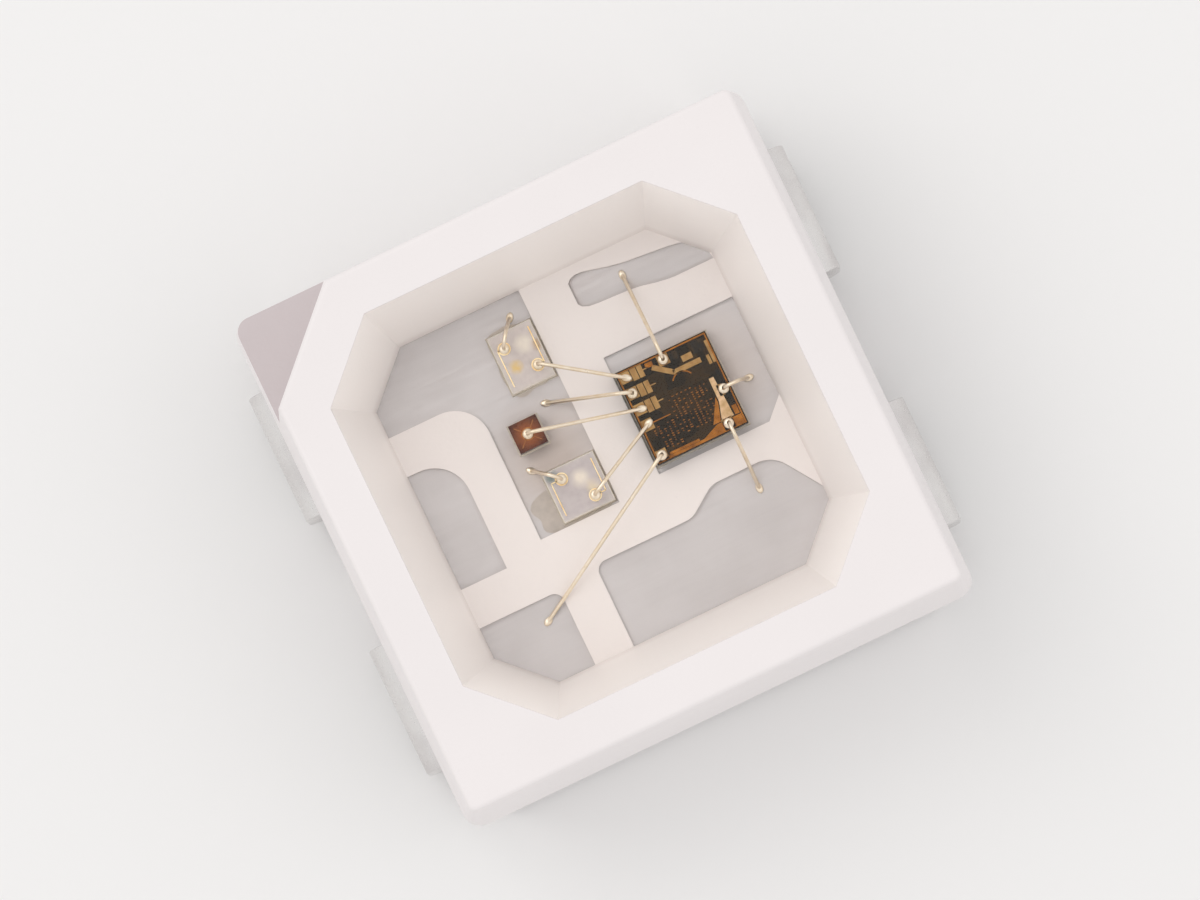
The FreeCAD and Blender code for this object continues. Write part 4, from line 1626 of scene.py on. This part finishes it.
@dataclass
class ColourDies:
    """The red, green and blue dies, with their electrodes on top.

    A patch of the glue film is its middle, half its length and width, and where its waves start,
    in radians. A wave is its height as a share, how often it goes round, and what that start is
    multiplied by.
    """

    pad_offset: float = 0.075
    pad_rise: float = 0.09
    pad_radius: float = 0.042
    arm_reach: float = 0.068
    finger_width: float = 0.008
    mesa_inset: float = 0.012
    metal_thickness: float = 0.002
    glue_gap: float = 0.001
    step_height: float = 0.003
    edge_wear: float = 0.004
    film_thickness: float = 0.002
    film_steps: int = 96
    film_waves: tuple[tuple[float, int, int], ...] = ((0.05, 3, 1), (0.03, 7, 2))
    film_patches: tuple[tuple[Place, Place, float], ...] = (
        ((-0.290, -0.185), (0.255, 0.140), 0.4),
        ((-0.195, 0.780), (0.168, 0.218), 1.7),
    )
    film_colour: Colour = (0.59, 0.525, 0.47)
    film_roughness: float = 0.4
    green_film_colour: Colour = (0.81, 0.765, 0.76)
    blue_film_colour: Colour = (0.74, 0.70, 0.715)
    # Painted highlights on the green die's top, measured from its middle.
    green_glints: tuple[Glint, ...] = (
        Glint((0.05, 0.067), 0.075, (0.97, 0.93, 0.86)),
        Glint((-0.055, -0.045), 0.055, (0.90, 0.72, 0.38)),
        Glint((0.125, 0.03), 0.045, (0.62, 0.46, 0.30)),
    )
    # Painted highlights on the blue die's top, measured from its middle; the last one is darker.
    blue_glints: tuple[Glint, ...] = (
        Glint((0.035, 0.045), 0.075, (0.97, 0.92, 0.85)),
        Glint((0.085, -0.03), 0.055, (0.92, 0.84, 0.70)),
        Glint((-0.13, 0.13), 0.06, (0.36, 0.42, 0.42)),
    )
    # The red die's colour at its painted glow in the middle, and the dark painted shade at its
    # corners.
    red_colour: Colour = (0.31, 0.086, 0.0205)
    red_corner_shade_colour: Colour = (0.055, 0.010, 0.004)
    red_gold_colour: Colour = (0.49, 0.215, 0.07)
    red_gold_shade: Colour = (0.34, 0.12, 0.03)
    gold_colour: Colour = (0.97, 0.80, 0.50)
    gold_shade: Colour = (0.86, 0.58, 0.26)
    gold_roughness: float = 0.3

    def middle(self, die: str) -> Vector:
        """The middle of a die's top, in millimetres."""
        return Vector((*flat_box(die)[0], millimetre_box(die)[1].z))

    def pad(self, die: str, side: int) -> Vector:
        """One of a clear die's two pads.

        Args:
            die: The die's name.
            side: 1 for the pad at the right, -1 for the one at the left.

        Returns:
            The pad's middle, in millimetres.
        """
        return self.middle(die) + Vector((side * self.pad_offset, -side * self.pad_rise, 0))

    def layer(self, die: str, level: float, thickness: float) -> FlatPlates:
        """An empty layer round a die's middle, from a height and with a thickness."""
        middle = self.middle(die)
        return FlatPlates((middle.x, middle.y), level, thickness)

    def metal_layer(self, die: str) -> FlatPlates:
        """An empty layer of metal on a die's top."""
        return self.layer(die, self.middle(die).z, self.metal_thickness)

    def clear_electrodes(self, die: str, gold: bpy.types.Material) -> None:
        """Lay the two pads of a clear die and the fingers that reach from them.

        Args:
            die: The die's name.
            gold: The metal.
        """
        _, half_sides = flat_box(die)
        half_length, half_width = (half - self.mesa_inset for half in half_sides)
        metal = self.metal_layer(die)
        for side in (-1, 1):
            pad = (side * self.pad_offset, -side * self.pad_rise)
            elbow = (side * (half_length - 2 * self.finger_width), pad[1])
            metal.disc(pad, self.pad_radius)
            metal.line(pad, elbow, self.finger_width)
            tip = (elbow[0], side * (half_width - 3 * self.finger_width))
            metal.line(elbow, tip, self.finger_width)
        metal.add(f"{die}_electrodes", gold, Slot.CLEAR_CRYSTAL)

    def red_electrode(self, gold: bpy.types.Material) -> None:
        """Lay the red die's round pad with its four short arms.

        Args:
            gold: The metal.
        """
        metal = self.metal_layer("red_die")
        metal.disc((0.0, 0.0), self.pad_radius)
        for x in (-self.arm_reach, self.arm_reach):
            for y in (-self.arm_reach, self.arm_reach):
                metal.line((0.0, 0.0), (x, y), self.finger_width / 2)
        metal.add("red_die_electrode", gold, Slot.RED_CRYSTAL)

    def crystal(self, die: str, material: bpy.types.Material) -> None:
        """Build a clear die: a diced block with worn edges and a step round its lit layer.

        Args:
            die: The solid that it stands for.
            material: Its finish.
        """
        low, high = millimetre_box(die)
        _, (half_length, half_width) = flat_box(die)
        step_level = high.z - self.step_height
        block_height = step_level - low.z - self.glue_gap
        block = self.layer(die, low.z + self.glue_gap, block_height)
        block.bar(-half_length, -half_width, 2 * half_length, 2 * half_width)
        bmesh.ops.bevel(block.work, geom=list(block.work.edges), offset=self.edge_wear * MM,
                        segments=WEAR_SEGMENTS, affect="EDGES")
        step = self.layer(die, step_level, self.step_height)
        right = half_length - self.mesa_inset
        top = half_width - self.mesa_inset
        bite = self.pad_radius
        step.outline([(-right, -top), (right - bite, -top), (right - bite, bite - top),
                      (right, bite - top), (right, top), (-right, top)])
        block.add(f"{die}_crystal", material, Slot.CLEAR_CRYSTAL, replaces=die)
        step.add(f"{die}_layer", material, Slot.CLEAR_CRYSTAL)

    def clear_finish(
            self, die: str, film_colour: Colour, glints: Sequence[Glint],
    ) -> ClearCrystal:
        """A clear die's finish.

        Args:
            die: The die's name.
            film_colour: The colour of the film on its top.
            glints: Its painted highlights.

        Returns:
            The finish.
        """
        x, y, z = self.middle(die)
        return ClearCrystal(
            name=f"{die}_clear",
            film_colour=film_colour,
            top=z - self.step_height,
            glints=tuple(replace(glint, middle=(x + glint.middle[0], y + glint.middle[1]))
                         for glint in glints),
        )

    def film_outline(self, middle: Place, half_sides: Place, start: float) -> list[Place]:
        """A rounded rectangle with a wavy edge.

        Args:
            middle: Its middle.
            half_sides: Half its length and width.
            start: Where its waves start, in radians.

        Returns:
            Its points, counter-clockwise.
        """
        points = []
        for step in range(self.film_steps):
            angle = math.tau * step / self.film_steps
            across, along = math.cos(angle), math.sin(angle)
            reach = (abs(across) ** 4 + abs(along) ** 4) ** -0.25
            ripple = 1 + sum(height * math.sin(count * angle + shift * start)
                             for height, count, shift in self.film_waves)
            points.append((middle[0] + half_sides[0] * reach * ripple * across,
                           middle[1] + half_sides[1] * reach * ripple * along))
        return points

    def glue_film(self) -> None:
        """Spread the thin film of set glue that crept out from under the clear dies."""
        _, lead_top = millimetre_box("supply_lead")
        film = FlatPlates((0.0, 0.0), lead_top.z, self.film_thickness)
        for middle, half_sides, start in self.film_patches:
            film.outline(self.film_outline(middle, half_sides, start))
        glue = DieGlue(name="thin_glue_film", colour=self.film_colour,
                       roughness=self.film_roughness).material()
        film.add("glue_film", glue, Slot.GLUE)

    def build(self) -> None:
        """Dress the dies and lay their electrodes."""
        middle, (half_side, _) = flat_box("red_die")
        red = LitCrystal(name="red_crystal", colour=self.red_colour, middle=middle,
                         half_side=half_side, corner_shade_colour=self.red_corner_shade_colour)
        dress("red_die", red.material())
        for die, film_colour, glints in (
                ("green_die", self.green_film_colour, self.green_glints),
                ("blue_die", self.blue_film_colour, self.blue_glints)):
            self.crystal(die, self.clear_finish(die, film_colour, glints).material())
        gold = ThinMetal(name="electrode_gold", colour=self.gold_colour,
                         shade_colour=self.gold_shade, roughness=self.gold_roughness).material()
        red_gold = ThinMetal(name="red_gold", colour=self.red_gold_colour,
                             shade_colour=self.red_gold_shade).material()
        self.red_electrode(red_gold)
        self.clear_electrodes("green_die", gold)
        self.clear_electrodes("blue_die", gold)
        self.glue_film()


@dataclass
class BondWires:
    """The ten bond wires, each from a ball over a loop to a stitch."""

    controller: Controller
    dies: ColourDies
    radius: float = 0.0125
    ball_radius: float = 0.034
    ball_height: float = 0.028
    loop_rise: float = 0.2
    loop_shoulder: float = 0.1
    loop_bend: float = 0.045
    bend_points: int = 7
    wire_sides: int = 12
    ball_segments: int = 20
    ball_rings: int = 12
    stitch_length: float = 0.07
    stitch_width: float = 0.045
    stitch_height: float = 0.02
    tip_reach: float = 0.0045
    colour: Colour = (0.96, 0.87, 0.72)
    shade_colour: Colour = (0.90, 0.77, 0.57)
    roughness: float = 0.32

    def starts(self) -> dict[str, Vector]:
        """Find where each wire's ball sits.

        Returns:
            The point for each wire's name, in millimetres.
        """
        places = {name: self.controller.on_frame(place)
                  for name, place in self.controller.pads().items()}
        places["green_drive_wire"] = self.dies.pad("green_die", 1)
        places["blue_drive_wire"] = self.dies.pad("blue_die", 1)
        places["red_drive_wire"] = self.dies.middle("red_die")
        places["green_supply_wire"] = self.dies.pad("green_die", -1)
        places["blue_supply_wire"] = self.dies.pad("blue_die", -1)
        return places

    def stitch_end(self, node: str, start: Vector) -> Vector:
        """Where a wire comes down, read from its solid.

        Args:
            node: The wire's solid.
            start: Where its ball sits.

        Returns:
            The middle of the stitch's lower face, in millimetres.
        """
        corners = [vertex.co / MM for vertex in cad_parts[node].data.vertices]
        farthest = max((corner.xy - start.xy).length for corner in corners)
        least = farthest - self.tip_reach
        tip = [corner for corner in corners if (corner.xy - start.xy).length > least]
        toe = sum((corner.xy for corner in tip), Vector((0, 0))) / len(tip)
        along = (toe - start.xy).normalized()
        heel = toe - along * self.stitch_length / 2
        return Vector((heel.x, heel.y, min(corner.z for corner in tip)))

    def wire_tree(self, gold: bpy.types.Material) -> Growth:
        """The tree that rounds a path's corners, thickens it and adds the ball and the stitch.

        Args:
            gold: What the wires are made of.

        Returns:
            The tree.
        """
        growth = Growth("bond_wire", {
            "Wire radius": self.radius * MM, "Bend radius": self.loop_bend * MM,
            "Ball radius": self.ball_radius * MM, "Ball height": self.ball_height * MM,
            "Stitch length": self.stitch_length * MM, "Stitch width": self.stitch_width * MM,
            "Stitch height": self.stitch_height * MM, "Run": 0.5 * MM, "Drop": 0.0,
        })
        desk = growth.desk
        path = desk.add("GeometryNodeMeshToCurve")
        desk.feed(path.inputs[0], growth.given("Geometry"))
        bends = desk.add("GeometryNodeFilletCurve", mode="POLY")
        bends.inputs["Count"].default_value = self.bend_points
        desk.feed(bends.inputs["Curve"], path.outputs[0])
        desk.feed(bends.inputs["Radius"], growth.given("Bend radius"))
        section = desk.add("GeometryNodeCurvePrimitiveCircle")
        section.inputs["Resolution"].default_value = self.wire_sides
        desk.feed(section.inputs["Radius"], growth.given("Wire radius"))
        wire = desk.add("GeometryNodeCurveToMesh")
        wire.inputs["Fill Caps"].default_value = True
        desk.feed(wire.inputs["Curve"], bends.outputs[0])
        desk.feed(wire.inputs["Profile Curve"], section.outputs[0])
        ball = desk.add("GeometryNodeMeshUVSphere")
        ball.inputs["Segments"].default_value = self.ball_segments
        ball.inputs["Rings"].default_value = self.ball_rings
        ball.inputs["Radius"].default_value = 1.0
        half_height = desk.product(growth.given("Ball height"), 0.5)
        ball_radius = growth.given("Ball radius")
        ball_size = growth.vector(ball_radius, ball_radius, half_height)
        squashed = growth.moved(ball.outputs[0], growth.vector(z=half_height), ball_size)
        half_stitch = [desk.product(growth.given(f"Stitch {name}"), 0.5)
                       for name in ("length", "width", "height")]
        stitch_level = desk.calculate("ADD", growth.given("Drop"), half_stitch[2])
        stitch_middle = growth.vector(growth.given("Run"), 0.0, stitch_level)
        stitch = growth.moved(ball.outputs[0], stitch_middle, growth.vector(*half_stitch))
        growth.end([wire.outputs[0], squashed, stitch], gold, smooth=True)
        return growth

    def path(self, name: str, run: float, drop: float) -> bpy.types.Mesh:
        """The wire's path from its ball, in its own upright plane.

        Args:
            name: The mesh's name.
            run: How far the stitch lies from the ball.
            drop: How much higher the stitch's seat is than the ball's.

        Returns:
            A mesh of the path's runs, in metres.
        """
        points = [
            (0.0, 0.0, self.ball_height / 2),
            (0.0, 0.0, self.loop_rise),
            (self.loop_shoulder, 0.0, self.loop_rise),
            (run, 0.0, drop + self.stitch_height / 2),
        ]
        runs = [(index, index + 1) for index in range(len(points) - 1)]
        mesh = bpy.data.meshes.new(name)
        mesh.from_pydata([Vector(point) * MM for point in points], runs, [])
        return mesh

    def build(self) -> None:
        """Grow every wire and let it stand for its solid."""
        gold = ThinMetal(name="bond_gold", colour=self.colour, shade_colour=self.shade_colour,
                         roughness=self.roughness).material()
        growth = self.wire_tree(gold)
        for node, start in self.starts().items():
            end = self.stitch_end(node, start)
            along = end.xy - start.xy
            drop = end.z - start.z
            name = f"{node}_round"
            mesh = growth.grow(name, self.path(node, along.length, drop), {
                "Run": along.length * MM, "Drop": drop * MM,
            })
            turn = Matrix.Rotation(math.atan2(along.y, along.x), 4, "Z")
            mesh.transform(Matrix.Translation(start * MM) @ turn)
            add_piece(name, mesh, replaces=node)


@dataclass
class ClearFilling:
    """The clear filling, cast into the cavity, with a shallow dish on top."""

    opening_half: float = 1.3903
    opening_chamfer: float = 0.44
    floor_half: float = 1.17
    floor_chamfer: float = 0.311
    rib_height: float = 0.04
    dish_sag: float = 0.07
    dish_reach_past_corner: float = 0.06
    wall_bite: float = 0.004
    rings: int = 28
    points_on_run: int = 12

    def octagon(self, half: float, chamfer: float) -> list[Vector]:
        """Points round a square with cut corners.

        Args:
            half: Half the square's side.
            chamfer: How much each corner loses along a side.

        Returns:
            Evenly counted points, counter-clockwise.
        """
        near = half - chamfer
        corners = [Vector(corner) for corner in (
            (half, -near), (half, near), (near, half), (-near, half),
            (-half, near), (-half, -near), (-near, -half), (near, -half))]
        shares = [step / self.points_on_run for step in range(self.points_on_run)]
        return [corner.lerp(after, share)
                for corner, after in zip(corners, corners[1:] + corners[:1])
                for share in shares]

    def dish_height(self, rim: float, reach: float) -> float:
        """The height of the dish at a distance from its middle.

        Args:
            rim: The height that the dish starts from.
            reach: The distance.

        Returns:
            The surface's height.
        """
        corner = math.hypot(self.opening_half, self.opening_half - self.opening_chamfer)
        edge = corner + self.dish_reach_past_corner
        radius = (edge ** 2 + self.dish_sag ** 2) / (2 * self.dish_sag)
        return rim - self.dish_sag + radius - math.sqrt(radius ** 2 - reach ** 2)

    def build(self) -> None:
        """Build the filling so that it reaches a hair into the walls and the floor."""
        rim = millimetre_box("housing")[1].z
        lead_level = millimetre_box("ground_lead")[1].z
        opening = self.octagon(self.opening_half + self.wall_bite, self.opening_chamfer)
        floor = self.octagon(self.floor_half + self.wall_bite, self.floor_chamfer)
        work = bmesh.new()
        centre = work.verts.new((0, 0, self.dish_height(rim, 0.0) * MM))
        levels = []
        for ring in range(1, self.rings + 1):
            points = [point * (ring / self.rings) for point in opening]
            levels.append([
                work.verts.new((p.x * MM, p.y * MM, self.dish_height(rim, p.length) * MM))
                for p in points
            ])
        for height in (lead_level + self.rib_height, lead_level - self.wall_bite):
            levels.append([work.verts.new((p.x * MM, p.y * MM, height * MM)) for p in floor])
        count = len(opening)
        for index in range(count):
            after = (index + 1) % count
            work.faces.new((centre, levels[0][index], levels[0][after]))
            for inner, outer in zip(levels, levels[1:]):
                work.faces.new((inner[index], outer[index], outer[after], inner[after]))
        work.faces.new(list(reversed(levels[-1])))
        half_way = (lead_level + rim) / 2 * MM
        for face in work.faces:
            face.smooth = face.calc_center_median().z > half_way
        mesh = closed_mesh("clear_filling", work, ClearResin().material())
        mesh.set_sharp_from_angle(angle=DISH_EDGE_ANGLE)
        add_piece("clear_filling", mesh, replaces="encapsulant")


@dataclass
class Studio:
    """The pale floor, the soft lamps and the camera."""

    turn: float = 25.6
    lean: float = 3.0
    distance: float = 90.0
    frame_width: float = 7.4
    sensor: float = 36.0
    floor_side: float = 3000.0
    floor_gap: float = 0.001
    sky_strength: float = 0.89
    sky_colour: Colour = (1.0, 0.99, 0.985)
    backdrop_colour: Colour = (1.0, 1.0, 1.0)
    lamp_side: float = 140.0
    key_place: tuple[float, float, float] = (-70.0, 95.0, 170.0)
    key_power: float = 0.080
    key_colour: Colour = (1.0, 0.985, 0.97)
    fill_place: tuple[float, float, float] = (120.0, -60.0, 150.0)
    fill_power: float = 0.0215
    fill_colour: Colour = (0.97, 0.98, 1.0)

    def camera(self) -> None:
        """Look down on the light as the photograph does, turned and leaned a little."""
        _, high = millimetre_box("housing")
        turn, lean = math.radians(self.turn), math.radians(self.lean)
        back = Vector((0, -math.sin(lean), math.cos(lean)))
        right = Vector((math.cos(turn), -math.sin(turn), 0))
        right = (right - back * right.dot(back)).normalized()
        up = back.cross(right)
        target = Vector((0, 0, high.z * MM))
        data = bpy.data.cameras.new("camera")
        data.sensor_width = self.sensor
        data.lens = self.sensor * self.distance / self.frame_width
        data.clip_start = MM
        data.clip_end = self.floor_side * MM
        camera = bpy.data.objects.new("camera", data)
        axes = Matrix((right, up, back)).transposed().to_4x4()
        camera.matrix_world = Matrix.Translation(target + back * self.distance * MM) @ axes
        bpy.context.scene.collection.objects.link(camera)
        bpy.context.scene.camera = camera

    def lamp(self, name: str, place: Sequence[float], power: float, colour: Colour) -> None:
        """Hang one soft square lamp that points at the light.

        Args:
            name: Its name.
            place: Where it hangs, in millimetres.
            power: Its power in watts.
            colour: Its colour.
        """
        data = bpy.data.lights.new(name, "AREA")
        data.shape = "SQUARE"
        data.size = self.lamp_side * MM
        data.energy = power
        data.color = colour
        lamp = bpy.data.objects.new(name, data)
        lamp.location = Vector(place) * MM
        lamp.rotation_euler = Vector(place).to_track_quat("Z", "Y").to_euler()
        lamp.visible_camera = False
        bpy.context.scene.collection.objects.link(lamp)

    def sky(self) -> None:
        """Light the scene evenly, and show white where the camera looks past the floor."""
        world = bpy.data.worlds.new("sky")
        world.use_nodes = True
        bpy.context.scene.world = world
        desk = NodeDesk(world.node_tree)
        glow = world.node_tree.nodes["Background"]
        glow.inputs[0].default_value = opaque(self.sky_colour)
        glow.inputs[1].default_value = self.sky_strength
        backdrop = desk.add("ShaderNodeBackground")
        backdrop.inputs[0].default_value = opaque(self.backdrop_colour)
        choice = desk.add("ShaderNodeMixShader")
        rays = desk.add("ShaderNodeLightPath")
        desk.feed(choice.inputs[0], rays.outputs["Is Camera Ray"])
        desk.feed(choice.inputs[1], glow.outputs[0])
        desk.feed(choice.inputs[2], backdrop.outputs[0])
        desk.feed(world.node_tree.nodes["World Output"].inputs["Surface"], choice.outputs[0])

    def floor(self) -> None:
        """Lay the pale floor just under the feet."""
        low, _ = millimetre_box("ground_lead")
        half = self.floor_side / 2 * MM
        level = (low.z - self.floor_gap) * MM
        corners = [(-half, -half, level), (half, -half, level),
                   (half, half, level), (-half, half, level)]
        mesh = bpy.data.meshes.new("floor")
        mesh.from_pydata(corners, [], [(0, 1, 2, 3)])
        mesh.materials.append(PaleFloor().material())
        floor = bpy.data.objects.new("floor", mesh)
        bpy.context.scene.collection.objects.link(floor)

    def build(self) -> None:
        """Set up the floor, the lamps, the sky and the camera."""
        bpy.context.scene.view_settings.view_transform = "Standard"
        self.floor()
        self.sky()
        self.lamp("key_lamp", self.key_place, self.key_power, self.key_colour)
        self.lamp("fill_lamp", self.fill_place, self.fill_power, self.fill_colour)
        self.camera()


def main() -> None:
    """Build the light's parts in order, then the studio."""
    logging.basicConfig(level=logging.INFO, format="%(message)s")
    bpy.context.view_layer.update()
    controller = Controller()
    dies = ColourDies()
    wires = BondWires(controller, dies)
    for part in (Housing(), Leads(), DieGlues(), controller, dies, wires, ClearFilling(), Studio()):
        part.build()
        LOG.info("%s is ready", type(part).__name__)


if __name__ == "__main__":
    main()
